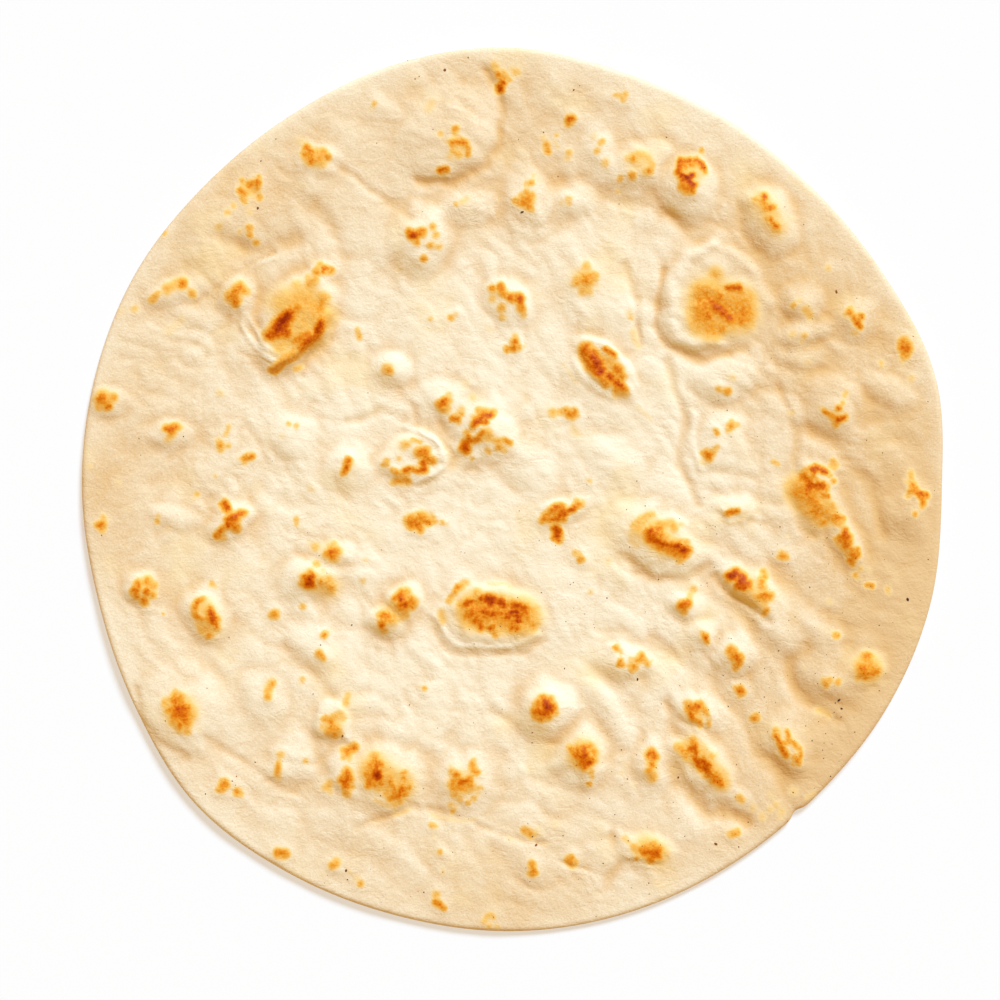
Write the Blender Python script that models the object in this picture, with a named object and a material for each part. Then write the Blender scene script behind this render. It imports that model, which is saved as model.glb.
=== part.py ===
"""A piadina: the thin flatbread of Romagna, rolled out by hand and baked on a hot griddle.

It is one piece of bread, a soft sheet about 3 mm thick and 26 cm across. Steam has lifted its upper side
into blisters of many sizes, and rolling and cooling have left shallow valleys between them. The underside lies
on whatever carries it, on flat pads where the griddle pressed it, and lifts a little between them and at the rim.

Metres, +Z up. The origin is at the centre of the underside, and +Y runs along the longer width.
Lengths in the tables are millimetres, and angles are degrees, anticlockwise from +X.
"""

import math

import bmesh
import bpy
import numpy as np
from mathutils import Vector, noise

MM = 0.001

# Dough sheet
THICKNESS = 3.0
RIM_THICKNESS = 2.5
RIM_TAPER = 22.0
RIM_ROUNDING = 1.7
THINNEST = 1.5

# Outline: the rolled rim's distance from the centre, at equal angles from +X, anticlockwise
RIM = (
    129.2, 131.8, 129.2, 128.0, 128.7, 129.8, 132.8, 132.6, 130.8, 130.0, 130.5, 129.8,
    129.1, 128.5, 130.5, 134.0, 133.3, 132.6, 132.7, 131.9, 130.6, 129.7, 130.3, 130.3,
)
NICK_ANGLE = -48.6
NICK_DEPTH = 1.2
NICK_HALF_WIDTH = 2.2

# Soft blisters: x, y, half length, half width, turn, height
SOFT_BLISTERS = (
    (-18, 106, 15, 14, 0, 2.3), (-26.5, 74, 10.5, 10.5, 0, 3.3), (-14, 85, 8, 6, 0, 1.5),
    (4, 87, 8, 10, 0, 1.8), (18, 87, 8, 5, 20, 1.3), (26, 98, 6, 8, 15, 1.5), (38, 97, 9, 7, 20, 2.2),
    (53, 92, 9, 9.5, 0, 2.9), (77.5, 82, 10, 7.5, -60, 3.1), (87, 56.5, 6, 5.5, 0, 2.2),
    (87.5, 46, 7, 4.8, 0, 2.2), (88.5, 38, 7, 3.5, 5, 1.6), (103, 52, 8, 7, 0, 1.6),
    (98, 25, 8, 9.5, 0, 2.5), (113, 30, 9, 5, -25, 1.3), (64, 34, 9, 7, 0, 2), (64, 16, 7, 8, 0, 1.3),
    (-82, 58, 6, 6, 0, 1.7), (-21, 27, 8, 7, 0, 1.5), (-9, 19, 12, 8, 0, 2.1),
    (43.5, -14, 13, 8.5, -28, 2.9), (91, -2, 12, 7, -55, 2.1), (101, -16, 8, 4.5, -60, 2.2),
    (71, -30.5, 11, 7, -42, 2.5), (-99, -66, 11, 13, 0, 2.1), (-92, -38, 6, 8, 15, 2.4),
    (-110.5, -29.5, 5.6, 5.6, 0, 2), (-121, 27, 5.5, 5, 0, 1), (-102, 17, 5.5, 5, 0, 1.3),
    (-60, -27, 8, 6, 0, 2.5), (-53, -19, 5, 4, 0, 1.7), (-48, 7, 8, 7, 30, 1.6), (-37, 36, 6, 5.5, 0, 1.8),
    (-33, -33, 6, 5.5, 0, 2.4), (-38.5, -39, 4.5, 4.5, 0, 1.9), (10, -65, 8, 8, 0, 2.4),
    (21, -80, 8, 9, 0, 2.6), (42, -82, 5, 9, 0, 2), (57, -82, 13, 7, -48, 2.4), (56, -67, 8, 6, -20, 1.6),
    (83, -77, 10, 6, -60, 1.7), (67, -50, 6, 6, 0, 2.2), (57, -44, 5, 4.5, 0, 1.7),
    (106, -53.5, 7.5, 6, 0, 2.3), (-14, -88, 9, 9, 0, 1.8), (-38, -86, 13, 10, 0, 2.4),
    (-50, -86, 5, 7, 0, 1.3), (35, -52, 8, 5, 0, 1.5), (40, -108, 8, 5.5, 0, 1.5), (22, 63, 6, 6, 0, 1.2),
    (-1, 57, 8, 6, -40, 1.3), (53, -35, 6, 5, 0, 1.3), (-84, -9, 8, 5, 40, 1.8), (-88, 80, 9, 12, -40, 1.2),
    (15, -7, 9, 4, 20, 1.1), (-58, 100, 7, 5, 0, 1), (-101, 60, 8, 4, 25, 1.1), (78, -42, 9, 5, -45, 1.1),
    (97, -56, 11, 6.5, -35, 1.8), (93, -44, 12, 5, -45, 1.2), (30, -66, 12, 5, -55, 1.1),
    (-75, -62, 8, 6, -50, 1.1), (-60, -47, 9, 6, -45, 1.2), (112, -6, 7, 9, 0, 1.3),
    (-100, -8, 8, 4, -15, 1), (30, 10, 9, 6, -30, 1.1), (5, 8, 10, 6, -40, 1), (-66, 17, 7, 6, 0, 1),
    (27, 56, 11, 8, -10, 1.1), (-66, -81, 8, 8, 0, 1.2), (66, -5, 6, 4.5, -10, 1.3),
)
SOFT_EDGE = 1.25
SOFT_SHAPE = 1.5

# Blisters whose dry skin stands up with a steep edge and a flat top:
# x, y, half length, half width, turn, height, roundness of the ends
SKIN_BLISTERS = (
    (-64.5, 51, 19, 10.5, 62, 2.3, 1.5),
    (61, 57, 16, 14.5, 80, 1.3, 2.0),
    (27.8, 36.6, 12.5, 6.5, -47, 1.7, 1.7),
    (-29, 9, 9.5, 7.5, 0, 1.3, 2.0),
    (-5, -38, 15.5, 10.5, -10, 1.7, 1.9),
    (-53.5, -70, 5, 5.5, 0, 1.1, 2.0),
)
SKIN_EDGE = 0.34

# Ridges of lifted skin, and the valleys and creases between the blisters: height, half width, points
LINES = (
    (1.2, 1.6, ((61, 74.5), (68, 71), (73.5, 65.5), (77.5, 58))),
    (1.3, 1.9, ((60, 74), (53, 70), (48, 62), (46.8, 52), (49.5, 45), (55, 42), (62, 43))),
    (-0.4, 1.4, ((81, -1), (85, -8), (91, -14))),
    (-0.6, 1.5, ((-111, -60), (-111, -69), (-107, -76), (-98, -79.5))),
    (-1, 3.2, ((60, -22), (72, -36), (82, -47), (90, -60), (95, -68))),
    (-0.9, 2.8, ((42, -45), (52, -52), (60, -58), (70, -68), (74, -78), (83, -90))),
    (-1.2, 3.4, ((26, -55), (34, -66), (40, -76), (50, -90), (60, -97), (70, -98))),
    (-0.9, 2.4, ((47, -64), (50, -73), (58, -90))),
    (-0.7, 2.6, ((78, -22), (88, -35), (99, -45))),
    (-0.4, 2.2, ((-66, -46), (-60, -52), (-55, -58), (-51, -64))),
    (-0.8, 1.5, ((-8, 126), (-4, 114), (-3.5, 104), (-9, 97), (-18, 92), (-28, 92))),
    (-0.7, 2.4, ((-88, 77), (-82, 70), (-74, 71), (-66, 76))),
    (-0.7, 2.6, ((-60, 85), (-52, 76), (-48, 70))),
    (-0.8, 2.4, ((12, 93), (20, 92), (30, 90), (42, 84), (52, 80))),
    (-0.7, 1.8, ((-56, 99), (-47, 94), (-40, 88), (-34, 84.5), (-31, 82))),
    (-0.4, 1.4, ((1, 82), (6, 79.5), (10, 80.5), (12.5, 86))),
    (-0.5, 1.4, ((33, 68), (37, 56), (39, 44))),
    (-0.6, 1.6, ((46, 38), (52, 22), (50, 8), (56, -4))),
    (-0.5, 1.6, ((80, 30), (85, 18), (84, 4))),
    (-0.6, 2, ((88, 18), (98, 12), (108, 2), (112, -14))),
    (-0.5, 1.4, ((-50, 20), (-40, 22), (-32, 20))),
    (-0.5, 1.6, ((28, -122), (34, -112), (30, -104))),
    (-0.6, 1.4, ((33, -19), (37, -24), (44, -26.5), (52, -26), (58, -22))),
    (-0.8, 2, ((83, -51), (86, -59), (90, -65), (97, -70))),
    (-0.8, 2, ((55, -90), (62, -95), (70, -98))),
)

# Slow waves of the whole sheet: height, wavelength
WAVES = ((0.55, 74.0), (0.32, 31.0))
WAVE_SEED = 17.3
WARPS = ((2.4, 16.0), (0.9, 6.0))
WARP_SEED = 22.3

# Puckers of the skin, rounded folds between narrow creases: height, wavelength, length to width, turn
PUCKERS = ((1.5, 16.0, 1.5, -48.0), (0.9, 8.0, 1.7, -38.0))
PUCKER_WARPS = ((9.0, 62.0), (2.2, 12.0))
PUCKER_SEED = 41.0
PUCKER_WARP_SEED = 61.0
PUCKER_LEVEL = 0.24
CREASE_ROUNDING = 0.004

# The puckers are strong in patches: their seed, their size in wavelengths, the share of the strength outside them,
# and the noise levels between which a patch begins
PATCH_SEED = 50.0
PATCH_SIZE = 3.5
PATCH_CALM = 0.4
PATCH_LOW = -0.55
PATCH_HIGH = 0.45
PUCKER_RIM = 0.25
PUCKER_TAPER = 14.0

# The rim curls up a little on two sides: angle of the middle, half angle, height
CURLS = ((200.0, 34.0, 1.3), (-20.0, 30.0, 1.0), (78.0, 24.0, 0.8))
CURL_WIDTH = 34.0

# Underside
PAD_BIAS = 0.18

# Mesh: each side starts as rings of triangles in a hexagon, and its outer rings go round the rim
FIRST_CORNER = math.pi / 6.0
UPPER_RINGS = 60
UPPER_ROUND_RINGS = 3
UNDER_RINGS = 20
UNDER_ROUND_RINGS = 2
TRIANGLES = 9800
UPPER_NORMAL = 0.3
MERGE = 0.001

DOUGH_COLOUR = (0.83, 0.66, 0.42, 1.0)
DOUGH_ROUGHNESS = 0.72


def ease(low, high, value):
    """A smooth step from 0 at low to 1 at high."""
    t = np.clip((value - low) / (high - low), 0.0, 1.0)
    return t * t * (3.0 - 2.0 * t)


def waves(x, y, wavelength, seed):
    """Smooth noise between about -1 and 1 at each point, with features about one wavelength apart."""
    points = zip((x / wavelength).tolist(), (y / wavelength).tolist())
    return np.array([noise.noise(Vector((u, v, seed))) for u, v in points])


def rim_radius(angle):
    """Distance of the rim from the centre, along a smooth closed curve through the RIM values."""
    rim = np.array(RIM)
    place = np.mod(angle, 2.0 * math.pi) / (2.0 * math.pi) * len(rim)
    index = np.floor(place).astype(int)
    t = place - index
    before, here, after, beyond = (rim[(index + k) % len(rim)] for k in (-1, 0, 1, 2))
    curve = 2.0 * here + (after - before) * t
    curve += (2.0 * before - 5.0 * here + 4.0 * after - beyond) * t**2
    curve += (3.0 * here - before - 3.0 * after + beyond) * t**3
    turn = np.angle(np.exp(1j * (angle - math.radians(NICK_ANGLE))))
    nick = NICK_DEPTH * np.exp(-((turn * rim.mean() / NICK_HALF_WIDTH) ** 2))
    return curve / 2.0 - nick


def across(x, y, row):
    """How far each point is from the middle of a blister, as a share of the way to its edge."""
    centre_x, centre_y, half_length, half_width, turn = row[:5]
    roundness = row[6] if len(row) > 6 else 2.0
    c, s = math.cos(math.radians(turn)), math.sin(math.radians(turn))
    u = ((x - centre_x) * c + (y - centre_y) * s) / half_length
    v = ((y - centre_y) * c - (x - centre_x) * s) / half_width
    return (np.abs(u) ** roundness + np.abs(v) ** roundness) ** (1.0 / roundness)


def line_distance(x, y, points):
    """Distance of each point from a line of straight stretches."""
    best = np.full(len(x), np.inf)
    for (x0, y0), (x1, y1) in zip(points, points[1:]):
        dx, dy = x1 - x0, y1 - y0
        t = np.clip(((x - x0) * dx + (y - y0) * dy) / (dx * dx + dy * dy), 0.0, 1.0)
        best = np.minimum(best, np.hypot(x - x0 - t * dx, y - y0 - t * dy))
    return best


def sheet_lift(x, y, angle, inward):
    """Height of the dough's underside before it settles on its pads: slow waves, and curls at the rim."""
    lift = np.zeros(len(x))
    for k, (height, wavelength) in enumerate(WAVES):
        lift += height * waves(x, y, wavelength, WAVE_SEED + k)
    for middle, half_angle, height in CURLS:
        turn = np.degrees(np.angle(np.exp(1j * (angle - math.radians(middle)))))
        lift += height * np.exp(-((turn / half_angle) ** 2)) * ease(CURL_WIDTH, 0.0, inward) ** 1.5
    return lift


def warped(x, y, warps, seed):
    """The points moved sideways by slow noise, which makes drawn shapes uneven."""
    wx, wy = x.copy(), y.copy()
    for k, (strength, wavelength) in enumerate(warps):
        wx += strength * waves(x, y, wavelength, seed + 2 * k)
        wy += strength * waves(x, y, wavelength, seed + 2 * k + 1)
    return wx, wy


def relief(x, y):
    """Height of the upper side's blisters, ridges and valleys over a plain sheet."""
    wx, wy = warped(x, y, WARPS, WARP_SEED)
    height = np.zeros(len(x))
    for row in SOFT_BLISTERS:
        q = across(wx, wy, row)
        height += (row[5] - height).clip(0.0) * np.clip(1.0 - (q / SOFT_EDGE) ** 2, 0.0, 1.0) ** SOFT_SHAPE
    for row in SKIN_BLISTERS:
        height = np.maximum(height, row[5] * ease(1.0 + SKIN_EDGE / 2, 1.0 - SKIN_EDGE, across(wx, wy, row)))
    for rise, half_width, points in LINES:
        height += rise * np.exp(-((line_distance(wx, wy, points) / half_width) ** 2))
    return height


def puckers(x, y):
    """The skin's puckers: rounded folds between narrow creases, most of which run down to the right."""
    wx, wy = warped(x, y, PUCKER_WARPS, PUCKER_WARP_SEED)
    height = np.zeros(len(x))
    for k, (depth, wavelength, stretch, turn) in enumerate(PUCKERS):
        c, s = math.cos(math.radians(turn)), math.sin(math.radians(turn))
        fold = waves((wx * c + wy * s) / stretch, wy * c - wx * s, wavelength, PUCKER_SEED + k)
        patches = ease(PATCH_LOW, PATCH_HIGH, waves(x, y, PATCH_SIZE * wavelength, PATCH_SEED + k))
        strength = depth * (PATCH_CALM + (1.0 - PATCH_CALM) * patches)
        height += strength * (np.sqrt(fold**2 + CREASE_ROUNDING) - PUCKER_LEVEL)
    return height


def new_disc(rings):
    """A flat hexagon of near-equal triangles, this many rings deep, with the upper side's points on its edge."""
    bm = bmesh.new()
    bmesh.ops.create_circle(bm, cap_ends=True, cap_tris=True, segments=6, radius=1.0)
    bmesh.ops.subdivide_edges(bm, edges=bm.edges[:], cuts=rings - 1, use_grid_fill=True)
    if rings < UPPER_RINGS:
        edge = [e for e in bm.edges if e.is_boundary]
        bmesh.ops.subdivide_edges(bm, edges=edge, cuts=UPPER_RINGS // rings - 1)
    bmesh.ops.triangulate(bm, faces=bm.faces[:])
    return bm


def hexagon_place(x, y):
    """Which ring of the hexagon each point is on, from 0 to 1, and how far round that ring, in radians."""
    sixth = math.pi / 3.0
    corner = FIRST_CORNER + sixth * np.floor((np.arctan2(y, x) - FIRST_CORNER) / sixth + 1e-6)
    following = corner + sixth
    first = (x * np.sin(following) - y * np.cos(following)) / math.sin(sixth)
    second = (y * np.cos(corner) - x * np.sin(corner)) / math.sin(sixth)
    ring = first + second
    return ring, corner + sixth * second / np.maximum(ring, 1e-9)


def new_side(rings, round_rings, upper):
    """One side of the bread, upper or under, as an open mesh: the two sides meet at the rim."""
    bm = new_disc(rings)
    flat = np.array([v.co for v in bm.verts])
    ring, angle = hexagon_place(flat[:, 0], flat[:, 1])
    inner_rings = rings - round_rings
    step = np.rint(ring * rings)
    round_angle = np.clip((step - inner_rings) / round_rings, 0.0, 1.0) * math.pi / 2.0
    reach = rim_radius(angle)
    radius = np.minimum(step / inner_rings, 1.0) * (reach - RIM_ROUNDING) + RIM_ROUNDING * np.sin(round_angle)
    x, y = radius * np.cos(angle), radius * np.sin(angle)
    inward = reach - radius

    lift = sheet_lift(x, y, angle, inward)
    under = np.maximum(lift - PAD_BIAS, 0.0)
    thick = RIM_THICKNESS + (THICKNESS - RIM_THICKNESS) * ease(0.0, RIM_TAPER, inward)
    skin = puckers(x, y) * (PUCKER_RIM + (1.0 - PUCKER_RIM) * ease(0.0, PUCKER_TAPER, inward))
    top = np.maximum(lift + thick + relief(x, y) + skin, under + THINNEST)
    middle = under + thick / 2.0
    z = middle + ((top if upper else under) - middle) * np.cos(round_angle)
    for vert, place in zip(bm.verts, zip(x * MM, y * MM, z * MM)):
        vert.co = place
    return bm


def new_bread_mesh():
    """The closed mesh of the bread, with its underside's points first: two sides joined along the rim."""
    bm = new_side(UNDER_RINGS, UNDER_ROUND_RINGS, False)
    bmesh.ops.reverse_faces(bm, faces=bm.faces[:])
    upper = new_side(UPPER_RINGS, UPPER_ROUND_RINGS, True)
    mesh = bpy.data.meshes.new("piadina")
    upper.to_mesh(mesh)
    upper.free()
    bm.from_mesh(mesh)
    rim = [v for v in bm.verts if v.is_boundary]
    bmesh.ops.remove_doubles(bm, verts=rim, dist=MERGE * MM)

    points = np.array([v.co for v in bm.verts])
    middle = (points.min(axis=0) + points.max(axis=0)) / 2.0
    bmesh.ops.translate(bm, verts=bm.verts[:], vec=Vector((-middle[0], -middle[1], 0.0)))
    bm.to_mesh(mesh)
    bm.free()
    return mesh


def dough_material():
    material = bpy.data.materials.new("baked_dough")
    material.use_nodes = True
    shader = material.node_tree.nodes["Principled BSDF"]
    shader.inputs["Base Color"].default_value = DOUGH_COLOUR
    shader.inputs["Roughness"].default_value = DOUGH_ROUGHNESS
    shader.inputs["Metallic"].default_value = 0.0
    return material


def add_piadina():
    """The bread as one object. Triangles are saved on its upper side alone, so the pads below stay flat."""
    collection = bpy.data.collections.new("piadina")
    bpy.context.scene.collection.children.link(collection)
    mesh = new_bread_mesh()
    mesh.materials.append(dough_material())
    mesh.shade_smooth()
    bread = bpy.data.objects.new("piadina", mesh)
    collection.objects.link(bread)
    upper_side = bread.vertex_groups.new(name="upper_side")
    upper_side.add([v.index for v in mesh.vertices if v.normal.z > UPPER_NORMAL], 1.0, "REPLACE")
    fewer = bread.modifiers.new("fewer_triangles", "DECIMATE")
    fewer.vertex_group = upper_side.name
    fewer.ratio = TRIANGLES / len(mesh.polygons)


for old in list(bpy.data.objects):
    bpy.data.objects.remove(old)
add_piadina()
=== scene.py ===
"""The look of a piadina: one thin flatbread, baked on a hot griddle, lying on a pale surface."""

import math

import bmesh
import bpy
import numpy as np
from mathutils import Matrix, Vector, noise


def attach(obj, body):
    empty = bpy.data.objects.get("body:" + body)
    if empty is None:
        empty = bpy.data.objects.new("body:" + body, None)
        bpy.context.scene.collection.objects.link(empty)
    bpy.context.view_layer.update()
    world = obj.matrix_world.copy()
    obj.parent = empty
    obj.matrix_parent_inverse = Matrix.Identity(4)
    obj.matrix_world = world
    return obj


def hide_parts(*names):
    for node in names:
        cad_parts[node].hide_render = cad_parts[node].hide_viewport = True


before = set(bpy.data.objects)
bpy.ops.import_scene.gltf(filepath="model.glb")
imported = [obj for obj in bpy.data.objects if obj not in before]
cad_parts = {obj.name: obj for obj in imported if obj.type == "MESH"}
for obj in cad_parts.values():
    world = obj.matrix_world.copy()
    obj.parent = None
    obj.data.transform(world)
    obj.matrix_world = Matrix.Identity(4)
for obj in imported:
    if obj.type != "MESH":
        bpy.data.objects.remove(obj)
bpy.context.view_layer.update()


# --------------------------------------------------------------------------------------------------
# The bread: one sheet of wheat dough, flour, water, lard and salt, rolled out by hand to about 3 mm.
# The griddle sets its skin, steam lifts it into blisters, and what touches the iron browns.
# Lengths here are millimetres, and angles are degrees, anticlockwise from +X.
# --------------------------------------------------------------------------------------------------
MM = 0.001

THICKNESS = 3.0
RIM_THICKNESS = 2.5
RIM_TAPER = 22.0
RIM_ROUNDING = 1.7
THINNEST = 1.5

# The rolled rim's distance from the centre, at equal angles
RIM = (
    129.2, 131.8, 129.2, 128.0, 128.7, 129.8, 132.8, 132.6, 130.8, 130.0, 130.5, 129.8,
    129.1, 128.5, 130.5, 134.0, 133.3, 132.6, 132.7, 131.9, 130.6, 129.7, 130.3, 130.3,
)
NICK_ANGLE = -48.6
NICK_DEPTH = 1.2
NICK_HALF_WIDTH = 2.2

# Soft blisters: x, y, half length, half width, turn, height
SOFT_BLISTERS = (
    (-18, 106, 15, 14, 0, 2.3), (-27.5, 75, 9, 10, 0, 2.9), (-14, 85, 8, 6, 0, 1.5),
    (4, 87, 8, 10, 0, 1.8), (18, 87, 8, 5, 20, 1.3), (26, 98, 6, 8, 15, 1.5), (38, 97, 9, 7, 20, 2.2),
    (53, 90.5, 8.5, 8.5, 0, 2.9), (77.5, 81.5, 10, 7.5, -60, 3.1), (87, 56.5, 6, 5.5, 0, 1.9),
    (86.5, 46.5, 5.6, 5.4, 0, 1.8), (88.5, 38.5, 5.5, 3.8, 5, 0.9), (103, 52, 8, 7, 0, 1.4),
    (98, 25, 8, 9.5, 0, 1.9), (113, 30, 9, 5, -25, 1.3), (64, 34, 9, 7, 0, 1.8), (64, 16, 7, 8, 0, 1.3),
    (-82, 58, 6, 6, 0, 1.7), (-21, 27, 8, 7, 0, 1.5), (-9, 18, 11, 9.5, 0, 2.4),
    (43.5, -14.5, 14, 10, -28, 2.8), (92, -2, 12, 7, -55, 1.6), (101, -16, 8, 4.5, -60, 1.9),
    (71, -30.5, 11, 7, -42, 2.2), (-99, -66, 11, 13, 0, 2.1), (-92, -38, 6, 8, 15, 2.4),
    (-110.5, -29.5, 5.6, 5.6, 0, 2), (-121, 27, 5.5, 5, 0, 1), (-102, 17, 5.5, 5, 0, 1.3),
    (-60, -27, 8, 6, 0, 2.5), (-53, -19, 5, 4, 0, 1.7), (-48, 7, 8, 7, 30, 1.6),
    (-37, 36, 6, 5.5, 0, 1.8), (-33, -33, 6, 5.5, 0, 2.4), (-38, -39.5, 5.5, 5.5, 0, 2.3),
    (10, -65, 8.6, 8.6, 0, 2.9), (21, -80, 8, 9, 0, 2.9), (42, -82, 5, 9, 0, 1.8),
    (57, -82, 13, 7, -48, 2.1), (56, -67, 8, 6, -20, 1.4), (83, -77, 10, 6, -60, 1.5),
    (67, -50, 6, 6, 0, 1.9), (57, -44, 5, 4.5, 0, 1.5), (106, -53.5, 7.5, 6, 0, 2),
    (-14, -88, 9, 9, 0, 1.8), (-38, -86, 13, 10, 0, 2.4), (-50, -86, 5, 7, 0, 1.3),
    (35, -52, 8, 5, 0, 1.5), (40, -108, 8, 5.5, 0, 1.5), (22, 63, 6, 6, 0, 1.2), (-1, 57, 8, 6, -40, 1.3),
    (53, -35, 6, 5, 0, 1.3), (-84, -9, 8, 5, 40, 1.8), (-88, 80, 9, 12, -40, 1.2),
    (15, -7, 9, 4, 20, 1.1), (-58, 100, 7, 5, 0, 1), (-101, 60, 8, 4, 25, 1.1), (78, -42, 9, 5, -45, 1.1),
    (97, -56, 11, 6.5, -35, 1.6), (93, -44, 12, 5, -45, 1.2), (30, -66, 12, 5, -55, 1.1),
    (-75, -62, 8, 6, -50, 1.1), (-60, -47, 9, 6, -45, 1.2), (119, -6, 7, 9, 0, 1.7),
    (-100, -8, 8, 4, -15, 1), (30, 10, 9, 6, -30, 1.1), (5, 8, 10, 6, -40, 1), (-66, 17, 7, 6, 0, 1),
    (27, 56, 11, 8, -10, 1.1), (-66, -81, 8, 8, 0, 1.2), (66, -5, 6, 4.5, -10, 0.9),
    (92.5, 48.5, 3.5, 4, 0, 0.9),
)

# Blisters whose dry skin stands up with a steep edge: x, y, half length, half width, turn, height,
# and how full their outline is, where 2 is an ellipse
SKIN_BLISTERS = (
    (-64.5, 51, 19, 10.5, 62, 2.3, 1.5),
    (61, 57, 16, 14.5, 80, 1.3, 2.0),
    (27.8, 36.6, 12.5, 6.5, -47, 1.2, 1.7),
    (-29, 9, 9.5, 7.5, 0, 1.2, 2.0),
    (-5, -38, 15.5, 10.5, -10, 1.7, 1.9),
    (-53.5, -70, 5, 5.5, 0, 1.1, 2.0),
)
SKIN_EDGE = 0.34
ELLIPSE = 2.0
BLISTER_FOOT = 1.25

# Ridges of lifted skin, and the valleys and creases between the blisters: height, half width, points
LINES = (
    (0.8, 2, ((60, 74.5), (66, 72.5), (71, 68.5), (75, 63), (77.5, 57))),
    (1.1, 2.1, ((60, 74), (53, 70), (48, 62), (46.8, 52), (49.5, 45), (55, 42), (62, 43))),
    (-0.6, 1.1, ((46, 66), (43.6, 58), (43.3, 50), (46, 43), (52, 39), (59, 38), (65, 40))),
    (0.6, 0.7, ((-22, -38), (-17, -45), (-9, -48.5), (1, -48), (9, -43.5))),
    (-0.3, 0.6, ((-24.5, -38), (-19, -47), (-9, -51), (2, -50.5), (11, -45))),
    (0.6, 0.8, ((-27, 17), (-22, 13), (-20.5, 7.5), (-24, 3.5), (-30, 1.6))),
    (0.6, 0.7, ((-81, 50), (-77, 44), (-71.5, 38.5))),
    (0.5, 0.6, ((-78, 52), (-74.5, 45), (-69.5, 40.5))),
    (0.9, 1, ((-55, 53), (-57.5, 46.5), (-63, 41), (-71.5, 36))),
    (-0.5, 0.9, ((-52.5, 50), (-55, 43.5), (-60.5, 39.5), (-62, 33))),
    (-0.6, 0.7, ((-96, 56), (-90, 60), (-82, 64.5), (-72, 70))),
    (0.5, 0.8, ((17, 37), (20, 33), (25, 29), (29.5, 27.2))),
    (0.5, 0.8, ((22, 45), (28, 44), (34, 38), (37.5, 31))),
    (0.5, 0.7, ((-51, -65.5), (-48, -69), (-49, -74.5))),
    (-0.4, 1.4, ((81, -1), (85, -8), (91, -14))),
    (-0.8, 1.2, ((61, -25), (66, -33), (75.5, -39))),
    (0.5, 1, ((55, 23), (53.5, 15), (57, 7))),
    (-0.6, 1.5, ((-111, -60), (-111, -69), (-107, -76), (-98, -79.5))),
    (0.4, 0.8, ((62, -6), (64, -10), (69, -10), (71, -6))),
    (-0.65, 3.2, ((58, -25), (69.5, -39.5), (79.5, -50), (87.5, -62.5), (93, -70))),
    (-0.75, 2.8, ((42, -45), (52, -52), (60, -58), (70, -68), (74, -78), (83, -90))),
    (-0.7, 3.4, ((26, -55), (34, -66), (40, -76), (50, -90), (60, -97), (70, -98))),
    (-0.75, 2.4, ((47, -64), (50, -73), (58, -90))),
    (-0.5, 2.6, ((78, -22), (88, -35), (99, -45))),
    (-0.4, 2.2, ((-67.5, -47.5), (-61.5, -53.5), (-56.5, -59.5), (-52.5, -65.5))),
    (-0.4, 1, ((-25, -97), (-12, -100), (0, -105), (10, -106))),
    (-0.8, 1.5, ((-8, 126), (-4, 114), (-3.5, 104), (-9, 97), (-18, 92), (-28, 92))),
    (-0.7, 2.4, ((-88, 77), (-82, 70), (-74, 71), (-66, 76))),
    (-0.7, 2.6, ((-60, 85), (-52, 76), (-48, 70))),
    (-0.5, 2.4, ((12, 93), (20, 92), (30, 90), (42, 84), (52, 80))),
    (-0.5, 1.5, ((-56, 99), (-47, 94), (-40, 88), (-34, 84.5), (-31, 82))),
    (-0.4, 1.4, ((1, 82), (6, 79.5), (10, 80.5), (12.5, 86))),
    (-0.5, 1.4, ((33, 68), (37, 56), (39, 44))),
    (-0.6, 1.6, ((46, 38), (52, 22), (50, 8), (56, -4))),
    (-0.5, 1.6, ((80, 30), (85, 18), (84, 4))),
    (-0.6, 2, ((88, 18), (98, 12), (108, 2), (112, -14))),
    (-0.5, 1.4, ((-50, 20), (-40, 22), (-32, 20))),
    (-0.4, 1.2, ((-92, -74), (-78, -82), (-66, -92))),
    (-0.5, 1.6, ((28, -122), (34, -112), (30, -104))),
    (-0.4, 1.2, ((-45, -102), (-30, -96), (-20, -100))),
    (-0.6, 1.4, ((33, -19), (37, -24), (44, -26.5), (52, -26), (58, -22))),
    (-0.6, 2, ((83, -51), (86, -59), (90, -65), (97, -70))),
    (-0.6, 2, ((54, -92), (61.5, -97), (69.5, -100))),
    (0.5, 0.6, ((-94, 57), (-88, 61), (-80, 65.5), (-72, 69))),
    (0.7, 0.8, ((-31, 18), (-25, 16), (-20.5, 11))),
    (-0.2, 0.8, ((38, 58), (38.6, 50), (38.2, 43))),
    (0.15, 0.7, ((39.5, 58), (40, 50), (39.6, 44))),
    (-0.5, 0.7, ((15, -112), (18, -114), (24, -115))),
    (-0.5, 0.7, ((36, -112.3), (44.5, -112.3))),
    (-0.5, 0.7, ((50, -67), (53, -69.5), (57, -72.5))),
)

# Slow waves of the whole sheet, the uneven edges of its blisters, and its curls at the rim.
# Waves and warps: size, wavelength. Curls: direction, half angle, height
WAVES = ((0.55, 74.0), (0.32, 31.0))
WAVE_SEED = 17.3
WARPS = ((2.4, 16.0), (0.9, 6.0))
CURLS = ((200.0, 34.0, 1.3), (-20.0, 30.0, 1.0), (78.0, 24.0, 0.8))
CURL_WIDTH = 34.0
PAD_BIAS = 0.18

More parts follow.
